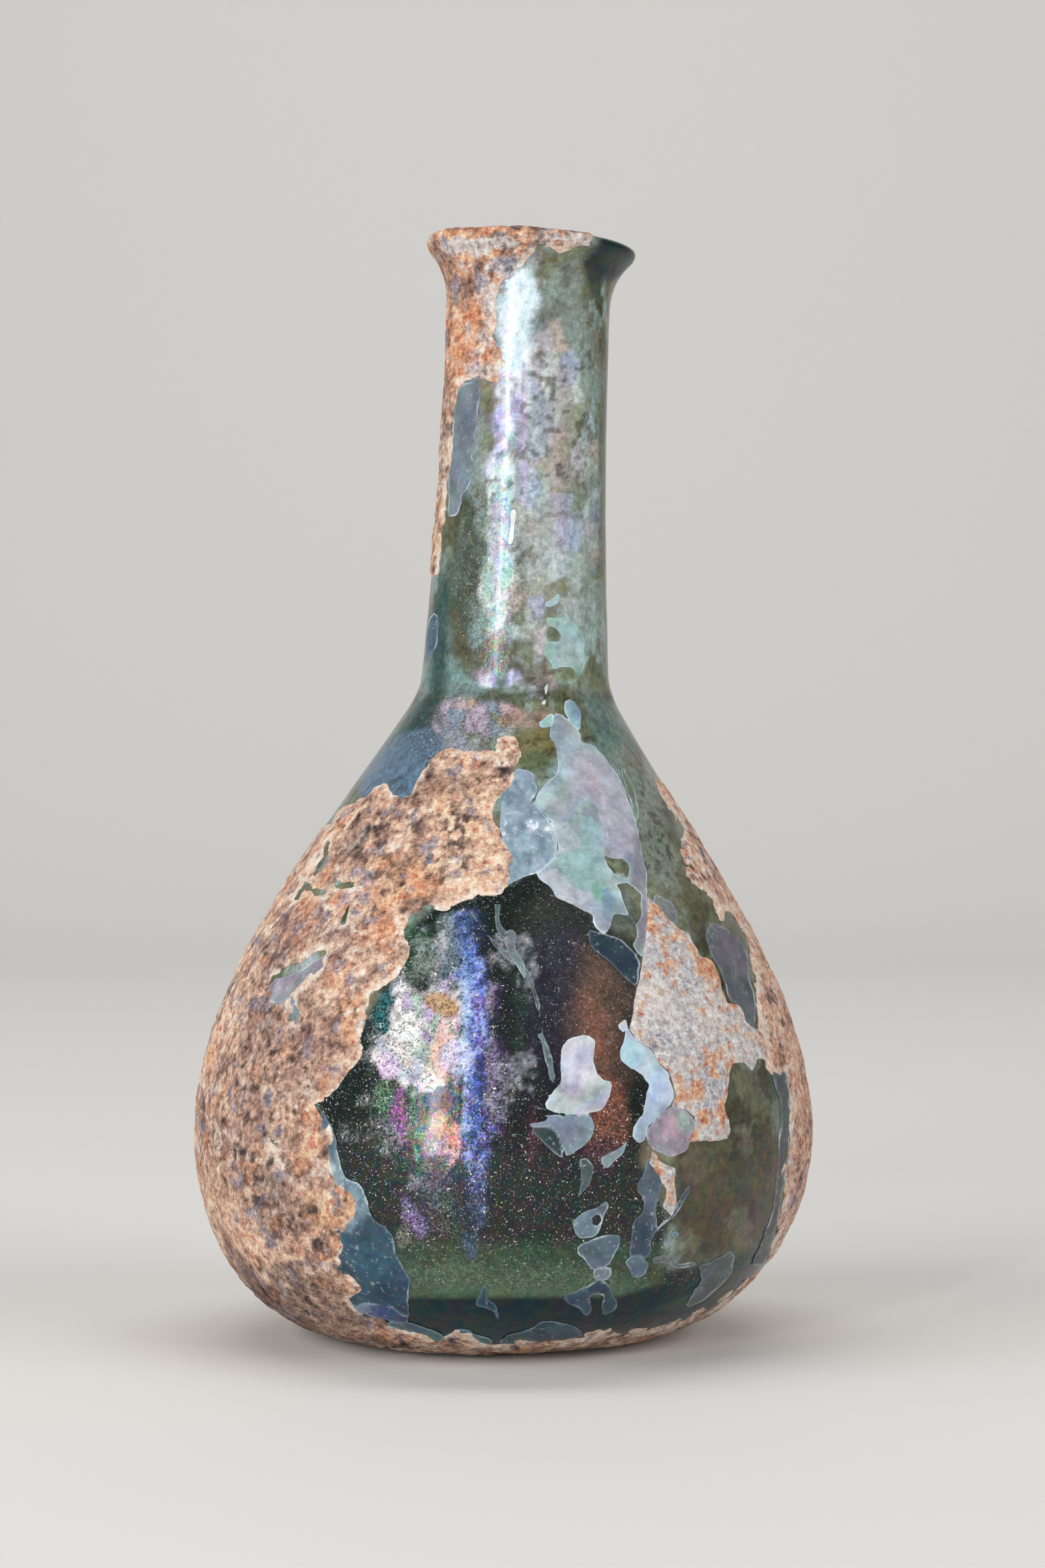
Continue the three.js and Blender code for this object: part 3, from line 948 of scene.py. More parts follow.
# %% Colours of the stained skin
OLIVE, GREY_GREEN, MOSS = colour(92, 96, 74), colour(120, 132, 122), colour(66, 74, 58)
# Corners, in pixels, of the boxes that patches are dealt into
REFLECTION_BOX, LOWER_REFLECTION_BOX = ((550, 1460), (715, 1665)), ((560, 1640), (725, 1800))
NECK_BOX, SHOULDER_BOX = ((725, 500), (905, 1020)), ((610, 1030), (850, 1125))
SIDE_BOX = ((940, 1060), (1200, 1930))


def reflection_cells(places, pixels):
    """Pearly patches in white, pink, lilac, peach and grey-green: painted reflection of the tall
    lamp in the rainbow layers.
    """
    shades = (colour(226, 222, 226), colour(206, 204, 216), colour(232, 228, 228),
              colour(222, 190, 200), colour(188, 168, 206), colour(216, 204, 204),
              colour(166, 184, 174), colour(180, 190, 204))
    return cells(places, pixels, REFLECTION_BOX, 60, shades, 92, colour(92, 80, 96))


def lower_reflection_cells(places, pixels):
    """Duller patches lower down, in salmon, brown, green, magenta, teal and grey: the lower part of
    the same painted reflection.
    """
    shades = (colour(214, 136, 114), colour(150, 100, 84), colour(104, 134, 108),
              colour(160, 66, 146), colour(40, 150, 130), colour(214, 160, 182),
              colour(140, 136, 146), colour(60, 66, 64))
    return cells(places, pixels, LOWER_REFLECTION_BOX, 26, shades, 95)


def neck_cells(places, pixels):
    """Overlapping thin flakes on the neck: greys that lean to blue, green, rose and olive."""
    shades = (colour(172, 184, 190), colour(154, 164, 160), colour(184, 174, 184),
              colour(180, 160, 152), colour(134, 136, 106), colour(198, 206, 204),
              colour(162, 172, 202), colour(118, 126, 108), colour(168, 174, 170))
    return cells(places, pixels, NECK_BOX, 110, shades, 101, colour(98, 104, 92))


def shoulder_cells(places, pixels):
    """Lilac, rose, grey-blue and straw flakes under the crease."""
    shades = (colour(168, 152, 172), colour(186, 158, 166), colour(128, 140, 158),
              colour(120, 122, 92), colour(150, 156, 164), colour(176, 150, 136))
    return cells(places, pixels, SHOULDER_BOX, 26, shades, 105)


def side_cells(places, pixels):
    """Browns, olives and greys on the right of the body."""
    shades = (colour(70, 66, 42), colour(92, 90, 68), colour(58, 58, 42), colour(84, 72, 40),
              colour(104, 106, 92), colour(44, 36, 22))
    return cells(places, pixels, SIDE_BOX, 160, shades, 109, colour(50, 44, 30))


def upright(places, pixels):
    """Pearly streaks that run up the bottle, because their noise is drawn out upwards. The
    near-white shades are a painted highlight, the tall lamp's long reflection down the neck.
    """
    shades = (colour(96, 120, 116), colour(150, 140, 188), colour(206, 214, 228),
              colour(226, 236, 238), colour(176, 214, 204), colour(150, 176, 214),
              colour(120, 130, 116))
    return mottled(places * [1, 1, 0.22], shades, 3.2, 92, 0.5)


def glimmer(places, pixels):
    """Fine upright glimmer of blue and violet: the blue stripe, a painted reflection of the tall
    lamp in the rainbow layers.
    """
    shades = (colour(50, 56, 100), colour(74, 86, 160), colour(104, 122, 212),
              colour(156, 178, 232), colour(98, 100, 198), colour(140, 124, 196),
              colour(90, 90, 130))
    upright_threads = 0.35 * noise(places * [1, 1, 0.12], 2.2, 93, 4)
    return stepped(shades, 0.45 + upright_threads + 0.4 * noise(places, 0.9, 98, 2), 0.3)


def dusting(places, pixels):
    """Dark glass dusted with pale grey and a little green and violet."""
    shades = (colour(28, 38, 34), colour(52, 78, 62), colour(84, 96, 100), colour(126, 138, 132),
              colour(158, 152, 172), colour(186, 190, 188), colour(128, 108, 150),
              colour(74, 116, 92))
    gathered = 0.3 * noise(places, 5, 97) + 0.4 * noise(places * [1, 1, 0.6], 1.8, 99, 4)
    return stepped(shades, 0.42 + gathered + 0.25 * noise(places, 0.6, 94, 2), 0.7)


# %% [markdown]
# ## Zones of the neck, the shoulder and the side
# The neck kept most of its weathered layer, in overlapping films, with pearly streaks on the
# left, where a painted highlight, the tall lamp's long reflection, runs over the film's own
# colours. A projected picture would bring the photograph's light and shadow with it. So each zone
# is written down as an outline in pixels, a colour, and how strong, soft and ragged it is in mm,
# and chance fills in the rest.

# %% Zones of the neck
HIGHLIGHT_WHITE, LILAC, MINT = colour(205, 222, 232), colour(168, 146, 178), colour(150, 196, 182)
STEEL, PALE_TEAL, ROSE = colour(84, 106, 126), colour(146, 174, 170), colour(176, 142, 138)
BROWN_SPOT, SHADED_TEAL_GLASS = colour(70, 54, 38), colour(26, 62, 62)
NECK_ZONES = [
    (blob(695, 660, 24, 95, 5), colour(98, 114, 128), 0.8, 0.7, 0.8),
    (blob(690, 870, 30, 130, 4), MOSS, 0.75, 1.2, 1.2),
    (blob(722, 700, 18, 80), GREY_GREEN, 0.6, 1.0, 1.2),
    # Bare glass at the neck's left edge: its own teal darkened with painted shade.
    (blob(655, 960, 14, 110), SHADED_TEAL_GLASS, 0.8, 0.8, 0.6),
    (blob(812, 740, 38, 170), colour(198, 196, 188), 0.75, 1.2, 1.4),
    (blob(800, 860, 30, 100), colour(122, 120, 88), 0.8, 1.0, 1.4),
    (blob(838, 720, 14, 120, -3), ROSE, 0.7, 0.5, 1.0),
    (blob(822, 630, 18, 34), colour(146, 180, 190), 0.8, 0.5, 0.8),
    (blob(806, 735, 16, 30), colour(146, 178, 176), 0.7, 0.5, 0.8),
    (blob(876, 700, 26, 260), colour(128, 146, 138), 0.8, 1.0, 0.8),
    (blob(852, 470, 30, 70), colour(122, 138, 132), 0.7, 1.0, 1.0),
    (blob(815, 760, 84, 270), neck_cells, 0.6, 0.8, 2.0),
    (blob(916, 820, 8, 330, -1), colour(66, 68, 42), 0.8, 0.7, 0.4),
    (blob(853, 972, 32, 52), PALE_TEAL, 0.9, 0.3, 0.7),
    (blob(833, 950, 12, 13), OLIVE, 0.9, 0.2, 0.2),
    (blob(850, 1010, 20, 12), colour(104, 112, 76), 0.8, 0.3, 0.4),
    (blob(800, 640, 22, 60), colour(132, 146, 160), 0.6, 0.3, 1.2),
    (blob(818, 800, 18, 60), colour(140, 150, 148), 0.6, 0.3, 1.4),
    (blob(846, 640, 16, 90), colour(142, 132, 130), 0.5, 0.4, 1.2),
    (blob(868, 930, 22, 60), colour(148, 160, 158), 0.6, 0.3, 1.2),
    (blob(735, 985, 44, 34), colour(78, 72, 48), 0.7, 0.6, 3.0),
    (blob(690, 960, 20, 30), colour(82, 76, 52), 0.6, 0.6, 3.0),
    (blob(800, 1000, 24, 16), colour(82, 78, 54), 0.6, 0.5, 2.6),
    # Down to the flare at the neck's root: the tall lamp's long highlight on the neck, painted in
    # white and the film's violet, mint and blue; the streaks are partly the film's own colours,
    # partly painted highlight.
    ([(738, 420), (800, 410), (796, 520), (786, 605), (764, 640), (767, 767), (772, 829),
      (764, 960), (727, 950), (726, 801), (737, 698), (736, 600)], upright, 0.62, 0.6, 1.4),
    ([(742, 420), (790, 405), (810, 450), (800, 520), (780, 560), (745, 560)], HIGHLIGHT_WHITE, 0.6,
      0.6, 0.8),
    (blob(743, 812, 12, 60), LILAC, 0.6, 0.4, 0.6),
    (blob(758, 850, 9, 34), MINT, 0.7, 0.3, 0.5),
    (blob(748, 650, 8, 50), colour(140, 130, 200), 0.6, 0.4, 0.5),
    (blob(785, 650, 3.5, 110), LILAC, 0.8, 0.2, 0.1),
    (blob(748, 1018, 30, 12, -6), upright, 0.9, 0.3, 0.8),
    (blob(725, 1012, 14, 14), LILAC, 0.5, 0.4, 0.6),
    # Bare glass at the right of the lip, near black: its own dark teal and painted shade.
    ([(884, 250), (888, 335), (904, 352), (893, 372), (884, 396), (896, 436), (925, 424),
      (990, 400), (1000, 250)], colour(14, 36, 38), 0.95, 0.7, 0.8),
]
print(len(NECK_ZONES), "zones on the neck")

# %% Zones of the shoulder and the right side
SHOULDER_ZONES = [
    (blob(710, 1072, 80, 32), shoulder_cells, 0.85, 0.4, 1.0),
    (blob(790, 1078, 42, 18), colour(150, 116, 108), 0.6, 0.6, 0.7),
    (blob(800, 1118, 40, 34), colour(104, 98, 58), 0.85, 0.5, 0.7),
    (blob(808, 1142, 28, 18), colour(78, 92, 66), 0.8, 0.5, 0.6),
    (blob(960, 1110, 60, 120, -35), colour(84, 108, 106), 0.75, 1.6, 1.2),
    # Bare glass at the shoulder's left edge: its own teal darkened with painted shade.
    (blob(620, 1085, 22, 62, 32), SHADED_TEAL_GLASS, 0.9, 0.7, 0.3),
    (blob(600, 1150, 75, 45, -40), STEEL, 0.95, 0.4, 0.3),
    (blob(684, 1110, 20, 26), colour(128, 134, 152), 0.7, 0.5, 0.8),
]
RIGHT_SIDE_ZONES = [
    (blob(1050, 1420, 60, 260, -18), colour(102, 104, 78), 0.7, 1.6, 1.2),
    (blob(1090, 1330, 26, 60, -24), colour(74, 94, 88), 0.7, 0.8, 0.6),
    (blob(1150, 1640, 30, 110, -4), colour(70, 86, 78), 0.5, 1.0, 0.8),
    (blob(1100, 1770, 96, 120), colour(68, 64, 46), 0.8, 2.0, 1.6),
    (blob(1165, 1790, 24, 90), colour(96, 82, 36), 0.6, 1.0, 0.8),
    (blob(1060, 1770, 40, 40), colour(112, 112, 104), 0.5, 1.0, 1.4),
    (blob(1090, 1850, 50, 50), BROWN_SPOT, 0.8, 1.2, 1.8),
    (blob(1130, 1880, 50, 60, 30), colour(92, 98, 74), 0.5, 1.0, 1.0),
    (blob(1030, 1800, 26, 60), colour(104, 106, 98), 0.5, 1.2, 1.4),
    ([(940, 1060), (1010, 1130), (1200, 1500), (1230, 1800), (1120, 1960), (1000, 1900),
      (1030, 1650), (1060, 1450), (960, 1250)], side_cells, 0.75, 1.0, 2.0),
    (blob(1110, 1800, 80, 110), colour(54, 48, 30), 0.45, 1.6, 3.0),
    (blob(964, 1220, 36, 110, -22), colour(132, 144, 134), 0.5, 1.2, 2.5),
    (blob(1062, 1905, 56, 20, -20), colour(80, 84, 66), 0.8, 0.6, 0.7),
    (blob(1010, 1925, 50, 11, -10), colour(110, 102, 76), 0.8, 0.4, 0.4),
]
print(len(SHOULDER_ZONES), "zones on the shoulder and", len(RIGHT_SIDE_ZONES), "on the right")

# %% [markdown]
# ## Zones of the window
# In the window crust and skin broke away together, down to bare glass. Its near-black ground is
# painted shade. The blue stripe and the pearly patches are the tall lamp's reflection in the
# rainbow layers, painted, with a painted highlight at their top; the rust-coloured patches are the
# glass's own. At the foot a green band is painted light shining through the thick base, and a
# teal band is the base's glass, its own teal darkened with painted shade. A strong thin film could
# give such colours, but they would change with every view and wouldn't lie where the photograph
# shows them. So they are painted too, and painted glints and dark grains come from the shader.

# %% Zones of the window
PURPLE, REFLECTED_BLUE = colour(104, 62, 132), colour(54, 60, 176)
WINDOW_ZONES = [
    # The window's near-black ground: painted shade, the dark seen through the bare glass.
    (WINDOW, NEAR_BLACK, 1.0, 0.8, 0.6),
    (blob(870, 1440, 100, 120), colour(56, 58, 52), 0.75, 2.5, 2.0),
    (blob(838, 1500, 50, 120), colour(54, 48, 72), 0.6, 2.5, 2.0),
    (blob(898, 1550, 48, 130), colour(116, 86, 74), 0.65, 3.0, 1.5),
    (blob(890, 1530, 20, 60, -12), colour(150, 94, 76), 0.5, 2.0, 1.5),
    (blob(908, 1676, 38, 66), colour(134, 82, 66), 0.9, 1.0, 0.8),
    (blob(905, 1735, 32, 26), colour(86, 40, 72), 0.6, 0.8, 0.8),
    (blob(800, 1640, 60, 220), colour(38, 36, 48), 0.6, 1.5, 1.0),
    # At the foot: a green band of painted light, shining through the thick base, then the teal band
    # of the foot's thick glass, its own teal darkened with painted shade.
    ([(480, 1862), (560, 1850), (760, 1866), (960, 1862), (1010, 1880), (1000, 1930), (940, 1950),
      (600, 1956), (520, 1960)], colour(60, 84, 60), 0.85, 1.6, 0.2),
    (blob(760, 1925, 230, 26, 2), colour(92, 114, 90), 0.7, 1.6, 0.6),
    ([(500, 1958), (600, 1953), (760, 1951), (930, 1950), (985, 1932), (1050, 1925), (1110, 1890),
      (1160, 1880), (1150, 1960), (1000, 2040), (560, 2040)], colour(0, 32, 38), 0.98, 0.35,
      0.05),
    (blob(1040, 1952, 60, 7, -18), colour(46, 70, 50), 0.7, 0.5, 0.3),
    ([(568, 1500), (600, 1440), (612, 1400), (640, 1380), (690, 1374), (692, 1500), (640, 1510),
      (590, 1530)], dusting, 0.8, 1.0, 3.0),
    (blob(668, 1450, 30, 44), colour(170, 168, 174), 0.5, 1.0, 5.0),
    (blob(620, 1420, 26, 40), colour(58, 104, 74), 0.4, 0.8, 5.0),
    (blob(680, 1430, 10, 60), colour(66, 134, 146), 0.4, 0.6, 3.0),
    (blob(600, 1620, 60, 150), dusting, 0.4, 1.0, 5.0),
    (blob(640, 1760, 40, 60), dusting, 0.5, 0.8, 4.5),
    (blob(700, 1600, 50, 240), colour(50, 58, 84), 0.5, 1.6, 1.0),
    (blob(577, 1520, 18, 34), colour(10, 104, 108), 0.85, 0.5, 0.5),
    # The pearly patch left of the stripe, down to the lines below: painted reflection of the tall
    # lamp in the rainbow layers, white at its top as a painted highlight.
    ([(560, 1570), (600, 1490), (650, 1480), (694, 1476), (696, 1560), (672, 1610), (664, 1650),
      (616, 1642), (590, 1600), (560, 1610)], reflection_cells, 0.88, 0.3, 2.2),
    (blob(664, 1590, 22, 60, -6), colour(226, 178, 158), 0.45, 0.6, 2.4),
    (blob(654, 1700, 38, 76), lower_reflection_cells, 0.85, 0.4, 1.6),
    (blob(662, 1506, 28, 18, 20), colour(178, 136, 84), 0.85, 0.25, 0.5),
    (blob(657, 1580, 12, 24), colour(222, 160, 140), 0.5, 0.15, 1.2),
    (blob(580, 1598, 17, 24), colour(206, 178, 216), 0.8, 0.15, 0.8),
    (blob(574, 1646, 12, 28), colour(84, 130, 100), 0.8, 0.4, 1.2),
    (blob(656, 1684, 26, 32), colour(206, 136, 114), 0.7, 0.2, 1.8),
    (blob(662, 1706, 12, 18), colour(140, 92, 70), 0.6, 0.2, 1.2),
    (blob(658, 1728, 24, 18), colour(186, 124, 156), 0.6, 0.2, 2.6),
    (blob(634, 1628, 24, 16), colour(244, 232, 230), 0.5, 0.15, 2.4),
    (blob(614, 1552, 28, 24), colour(250, 250, 252), 0.65, 0.15, 2.4),
    (blob(602, 1690, 9, 56, -4), colour(150, 66, 152), 0.85, 0.2, 1.6),
    (blob(623, 1725, 9, 50, -4), colour(44, 160, 144), 0.85, 0.2, 1.6),
    (blob(650, 1765, 26, 36), dusting, 0.5, 0.6, 4.0),
    (blob(655, 1800, 44, 60), colour(96, 88, 124), 0.45, 0.8, 4.0),
    (blob(580, 1800, 17, 46, -6), colour(26, 30, 28), 0.9, 0.3, 0.8),
    (blob(623, 1827, 13, 36, -18), colour(134, 110, 172), 0.75, 0.4, 1.2),
    (blob(622, 1806, 7, 32, -36), colour(52, 44, 36), 0.8, 0.3, 0.6),
    (blob(604, 1858, 12, 18, 10), colour(118, 118, 110), 0.8, 0.2, 0.6),
    (blob(664, 1842, 16, 22), colour(110, 50, 72), 0.6, 0.6, 0.5),
    (blob(681, 1830, 20, 50), colour(66, 88, 48), 0.6, 0.8, 0.8),
    (blob(706, 1860, 16, 34), colour(78, 100, 138), 0.6, 0.6, 0.6),
    # The blue stripe, with its cyan and violet borders and the pale lavender beside it, to the
    # lines below: painted reflection of the tall lamp in the rainbow layers.
    ([(688, 1372), (708, 1370), (724, 1410), (736, 1480), (739, 1560), (737, 1700), (734, 1790),
      (724, 1850), (704, 1840), (692, 1780), (690, 1660), (696, 1560), (692, 1480)], glimmer,
      0.88, 0.6, 1.4),
    (blob(714, 1660, 14, 90), REFLECTED_BLUE, 0.45, 0.8, 0.8),
    (blob(710, 1800, 26, 60), colour(38, 42, 66), 0.75, 1.4, 1.6),
    (blob(697, 1530, 7, 110), colour(170, 200, 236), 0.6, 0.5, 0.6),
    (blob(732, 1600, 5, 150), colour(66, 56, 120), 0.7, 0.4, 0.5),
    (blob(704, 1425, 14, 50), colour(48, 96, 156), 0.7, 0.6, 1.4),
    (blob(708, 1396, 18, 26), colour(26, 48, 72), 0.65, 1.0, 1.6),
    (blob(737, 1550, 4, 130, -1), colour(150, 132, 128), 0.55, 0.3, 1.0),
    (blob(749, 1600, 5, 120, -1), PURPLE, 0.35, 0.5, 2.0),
    (blob(682, 1610, 13, 50), colour(176, 176, 216), 0.7, 0.4, 2.0),
    (blob(776, 1530, 14, 40), colour(40, 84, 56), 0.3, 0.8, 2.0),
    (blob(772, 1440, 18, 28, -20), dusting, 0.5, 0.5, 5.5),
    (blob(794, 1640, 20, 36), dusting, 0.45, 0.5, 5.5),
    (blob(800, 1700, 10, 50), colour(130, 44, 84), 0.35, 0.6, 0.8),
]
print(len(WINDOW_ZONES), "zones in the window")

# %% Islands of worn skin, and the bare glass at the rim
ISLANDS = [
    (colour(128, 146, 138), 7, 0.15, 0.6, 81), (colour(112, 138, 140), 5, 0.35, 0.7, 82),
    (colour(70, 76, 52), 4, 0.4, 0.7, 83), (colour(140, 160, 156), 6, 0.5, 0.7, 84),
    (colour(132, 112, 100), 9, 0.55, 0.5, 85), (colour(150, 158, 166), 4, 0.5, 0.6, 86),
    (colour(88, 82, 62), 2.4, 0.5, 0.6, 87),
]
CLEAR_GLASS = [
    [(893, 250), (893, 345), (891, 371), (880, 402), (893, 440), (925, 420), (990, 400),
     (1000, 250)],
]

# %% Stained skin material
SKIN_TOP, SKIN_BOTTOM = 0.4, 0.46

stained_skin, tree, shader = material_named(
    "stained_skin", Roughness=0.26, Specular_IOR_Level=0.5, Coat_Weight=0.25, Coat_Roughness=0.08,
    Coat_IOR=1.35, Thin_Film_IOR=1.4,
)
paint = add(tree, "Attribute", attribute_name="paint")
shine = add(tree, "Attribute", attribute_name="shine").outputs["Fac"]
fine = ramp(
    tree, cloud(tree, 0.9, 8, 0.8), (0.34, colour(92, 92, 88)), (0.5, colour(186, 186, 186)),
    (0.66, colour(250, 250, 250)),
)
base = layered(tree, 0.6, paint.outputs["Color"], fine, "OVERLAY")
grain = plus_part(tree, cloud(tree, 0.34, 4, 0.7), paint.outputs["Color"], 0.26)
dark_dust = sums(tree, "MULTIPLY", ranged(tree, grain, 0.5, 0.56, 0.9, 0.0), shine)
base = layered(tree, dark_dust, base, NEAR_BLACK)
# Bright grains laid into the colour where shine allows: painted glints of light on tiny flakes.
sparks = cloud(tree, 0.22, 2, 0.5)
dusted = plus_part(tree, sparks, paint.outputs["Color"], 0.2)
lit = sums(tree, "MULTIPLY", ranged(tree, dusted, 0.61, 0.69), shine)
spark_shade = ramp(
    tree, cloud(tree, 0.7, 3), (0.36, colour(60, 84, 72)), (0.48, colour(118, 116, 96)),
    (0.56, colour(170, 178, 180)), (0.66, colour(255, 244, 220)),
)
base = layered(tree, lit, base, spark_shade)
tree.links.new(base, shader.inputs["Base Color"])
tree.links.new(paint.outputs["Alpha"], shader.inputs["Alpha"])
film = ranged(tree, cloud(tree, 4, 3), 0.3, 0.7, 250, 620)
tree.links.new(film, shader.inputs["Thin Film Thickness"])
ripple = plus_part(tree, cloud(tree, 4, 3), cloud(tree, 0.8, 3), 0.35)
relief(tree, shader, plus_part(tree, ripple, sparks, 0.12), 0.16)


# %% Stained skin pieces
WINDOW_ALPHA = 0.9
SKIN_UNDER_CRUST = 1.3  # mm that the skin runs on under the crust's edge
SPECK = colour(50, 42, 28)
GROUNDS = (MOSS, OLIVE, colour(106, 110, 88), GREY_GREEN, colour(96, 116, 110))
SPARKLING = [blob(735, 870, 60, 150), blob(700, 1100, 90, 70)]
# Pixels between which the painted glints of the window change, downwards and then across
LOWER_PART, UPPER_PART = (1450, 1750), (1600, 1750)
GREEN_BAND, TEAL_BAND = (1850, 1890), (1925, 1950)
LEFT_PART, RIGHT_PART = (640, 540), (740, 790)


def window_share(pixels, front, places):
    """1 inside the bare window and 0 outside, with a ragged change between."""
    return smooth(-0.6, 0.6, inside_of(pixels, WINDOW) + 0.8 * noise(places, 3, 62)) * front


def skin_paint(places, pixels, front, window, zones):
    """Colours and cover of the skin: mottled ground, islands and zones, then brown stains and
    dark specks outside the window. Cover is lower on the dark parts of the window and at the
    bare rim."""
    ground = islands(mottled(places, GROUNDS, 6, 63, 0.4), places, ISLANDS)
    paint = painted(ground, zones, places, pixels, front)
    stains = smooth(0.3, 0.55, noise(places, 2.0, 64, 4)) * (1 - window)
    paint = blend(paint, BROWN_SPOT, 0.45 * stains * smooth(-0.3, 0.5, noise(places, 9, 67)))
    gathered = smooth(-0.2, 0.4, noise(places, 8, 89, 3))
    specks = smooth(0.38, 0.5, noise(places, 0.8, 68, 2)) * gathered
    paint = blend(paint, SPECK, 0.6 * specks * (1 - window))
    bright = paint[:, :3].max(axis=1)
    paint[:, 3] = 1 - (1 - WINDOW_ALPHA) * window * (1 - smooth(0.1, 0.3, bright))
    rim_glass = smooth(-0.4, 0.4, inside_any(pixels, CLEAR_GLASS)) * front
    paint[:, 3] *= 1 - 0.35 * rim_glass
    return paint


def spark_share(places, pixels, front, window):
    """How many painted glints, and dark grains with them, show: half on two parts of the neck, most
    in the window, where they thin out at the foot and to the upper right, and none under the foot."""
    across, down = pixels.T
    on_neck = 0.5 * front * smooth(-2, 2, inside_any(pixels, SPARKLING))
    lower = smooth(*LOWER_PART, down) + smooth(*LEFT_PART, across)
    fading = 1 - 0.45 * smooth(*GREEN_BAND, down) - 0.55 * smooth(*TEAL_BAND, down)
    fading *= 1 - 0.45 * smooth(*RIGHT_PART, across) * (1 - smooth(*UPPER_PART, down))
    in_window = window * smooth(1, 3, places[:, 2])
    return np.maximum(on_neck, in_window * np.clip(0.75 + 0.25 * lower, 0, 1) * fading)


def skin(name, angles, ways, zones, crust_reach, raised=0.0):
    """Skin over part of the bottle, left out well under the crust. Where it is raised over the
    piece below, it fades in from its lower edge."""
    angle, way, triangles = grid_over(np.radians(angles), ways)
    places, pixels, front = place_of(angle, way)
    window = window_share(pixels, front, places)
    paint = skin_paint(places, pixels, front, window, zones)
    if raised:
        paint[:, 3] *= smooth(ways[0], ways[0] + 3, way)
    sparkling = spark_share(places, pixels, front, window)[:, None]
    cover = SKIN_UNDER_CRUST - crust_reach(angle, way, places, pixels, front)
    lift = 0.03 * noise(places, 5, 66) - raised
    top, bottom = (on_bottle(angle, way, depth + lift) for depth in (SKIN_TOP, SKIN_BOTTOM))
    rows = np.concatenate([top, bottom, paint, sparkling], axis=1)
    points, faces, extra = closed(*cut(triangles, cover, rows))
    made = piece(name, points, faces, stained_skin, extra[:, :4], extra[:, 4])


BODY_ZONES = SHOULDER_ZONES + RIGHT_SIDE_ZONES + WINDOW_ZONES
UP_TO_NECK, NECK_OVERLAP = up_to(83), 3.4
for name, angles, step in (
    ("skin_left", (178.1, 268.1, 174), 0.36),
    ("skin_right", (268.1, 364.1, 172), 0.38),
    ("skin_back", (4.1, 178.1, 146), 0.8),
):
    ways = np.arange(16, UP_TO_NECK, step)
    skin(name, np.linspace(*angles), ways, BODY_ZONES, body_crust)
ways = np.arange(UP_TO_NECK - NECK_OVERLAP, THROAT, 0.34)
skin("skin_neck", np.arange(0, 360.1, 2.0), ways, NECK_ZONES, neck_crust, 0.03)

# %% [markdown]
# ## Pearly flakes
# Buried glass weathers into layers thinner than a hair. Where they lift, they show as milky
# flakes with white broken edges and a rainbow lustre. Each is a thin shell a little above the
# stained skin. Its colour is painted, so that it is kept when the model is exported, and the
# shader's thin film adds the lustre that changes with the light.

# %% Flakes on the right: outline in pixels of the photograph, colour, cover
RIGHT_FLAKES = {
    "speckled": ([(773, 1166), (775, 1151), (800, 1157), (801, 1166), (810, 1179), (801, 1196),
        (806, 1209), (823, 1225), (836, 1245), (838, 1278), (820, 1298), (803, 1310), (780, 1318),
        (757, 1325), (750, 1300), (758, 1262), (736, 1225), (745, 1190)], colour(126, 144, 156),
        0.88),
    "milky": ([(833, 1068), (849, 1073), (873, 1096), (873, 1113), (893, 1113), (906, 1129),
        (921, 1146), (939, 1179), (952, 1219), (962, 1255), (967, 1292), (972, 1312), (973, 1341),
        (972, 1400), (969, 1436), (957, 1428), (949, 1415), (958, 1404), (957, 1388), (946, 1371),
        (936, 1371), (922, 1368), (918, 1385), (912, 1400), (899, 1391), (889, 1368), (866, 1358),
        (846, 1348), (836, 1343), (830, 1332), (803, 1312), (820, 1298), (838, 1278), (836, 1245),
        (823, 1225), (806, 1209), (802, 1200), (812, 1180), (836, 1159), (839, 1136), (835, 1113),
        (825, 1101)], colour(148, 162, 168), 0.82),
    "leaf": ([(808, 1080), (829, 1068), (833, 1080), (826, 1090), (812, 1089)],
        colour(160, 188, 190), 0.9),
    "crest": ([(848, 1052), (860, 1048), (872, 1066), (874, 1094), (862, 1088), (852, 1072)],
        colour(140, 165, 182), 0.85),
    "chips": ([(816, 1029), (825, 1023), (823, 1036), (820, 1045)], colour(200, 205, 205), 0.95),
    "chip": ([(811, 1053), (822, 1045), (820, 1057)], colour(205, 205, 205), 0.95),
    "olive": ([(930, 1139), (942, 1157), (957, 1190), (962, 1218), (956, 1230), (948, 1200),
        (935, 1160)], colour(118, 132, 118), 0.7),
    "grey": ([(984, 1338), (1005, 1348), (1020, 1365), (1019, 1383), (1005, 1387), (992, 1370),
        (984, 1355)], colour(122, 128, 124), 0.8),
    "lilac": ([(1072, 1381), (1092, 1391), (1115, 1411), (1128, 1444), (1126, 1468), (1135, 1491),
        (1136, 1540), (1121, 1528), (1110, 1504), (1098, 1500), (1088, 1461), (1072, 1434),
        (1060, 1400)], colour(98, 102, 108), 0.75),
    "edge_film": ([(1160, 1600), (1186, 1606), (1190, 1660), (1188, 1720), (1180, 1780),
        (1168, 1850), (1150, 1900), (1130, 1900), (1150, 1860), (1166, 1800), (1172, 1740),
        (1176, 1660)], colour(90, 94, 96), 0.6),
}
RIGHT_HOLES = [
    [(906, 1280), (921, 1285), (939, 1287), (946, 1298), (944, 1313), (936, 1316), (922, 1308),
     (912, 1295)],
    [(927, 1325), (942, 1323), (956, 1332), (964, 1340), (964, 1372), (957, 1384), (946, 1371),
     (936, 1348)],
    [(796, 1203), (800, 1196), (806, 1193), (803, 1200), (798, 1206)],
]
print(len(RIGHT_FLAKES), "flakes on the right")

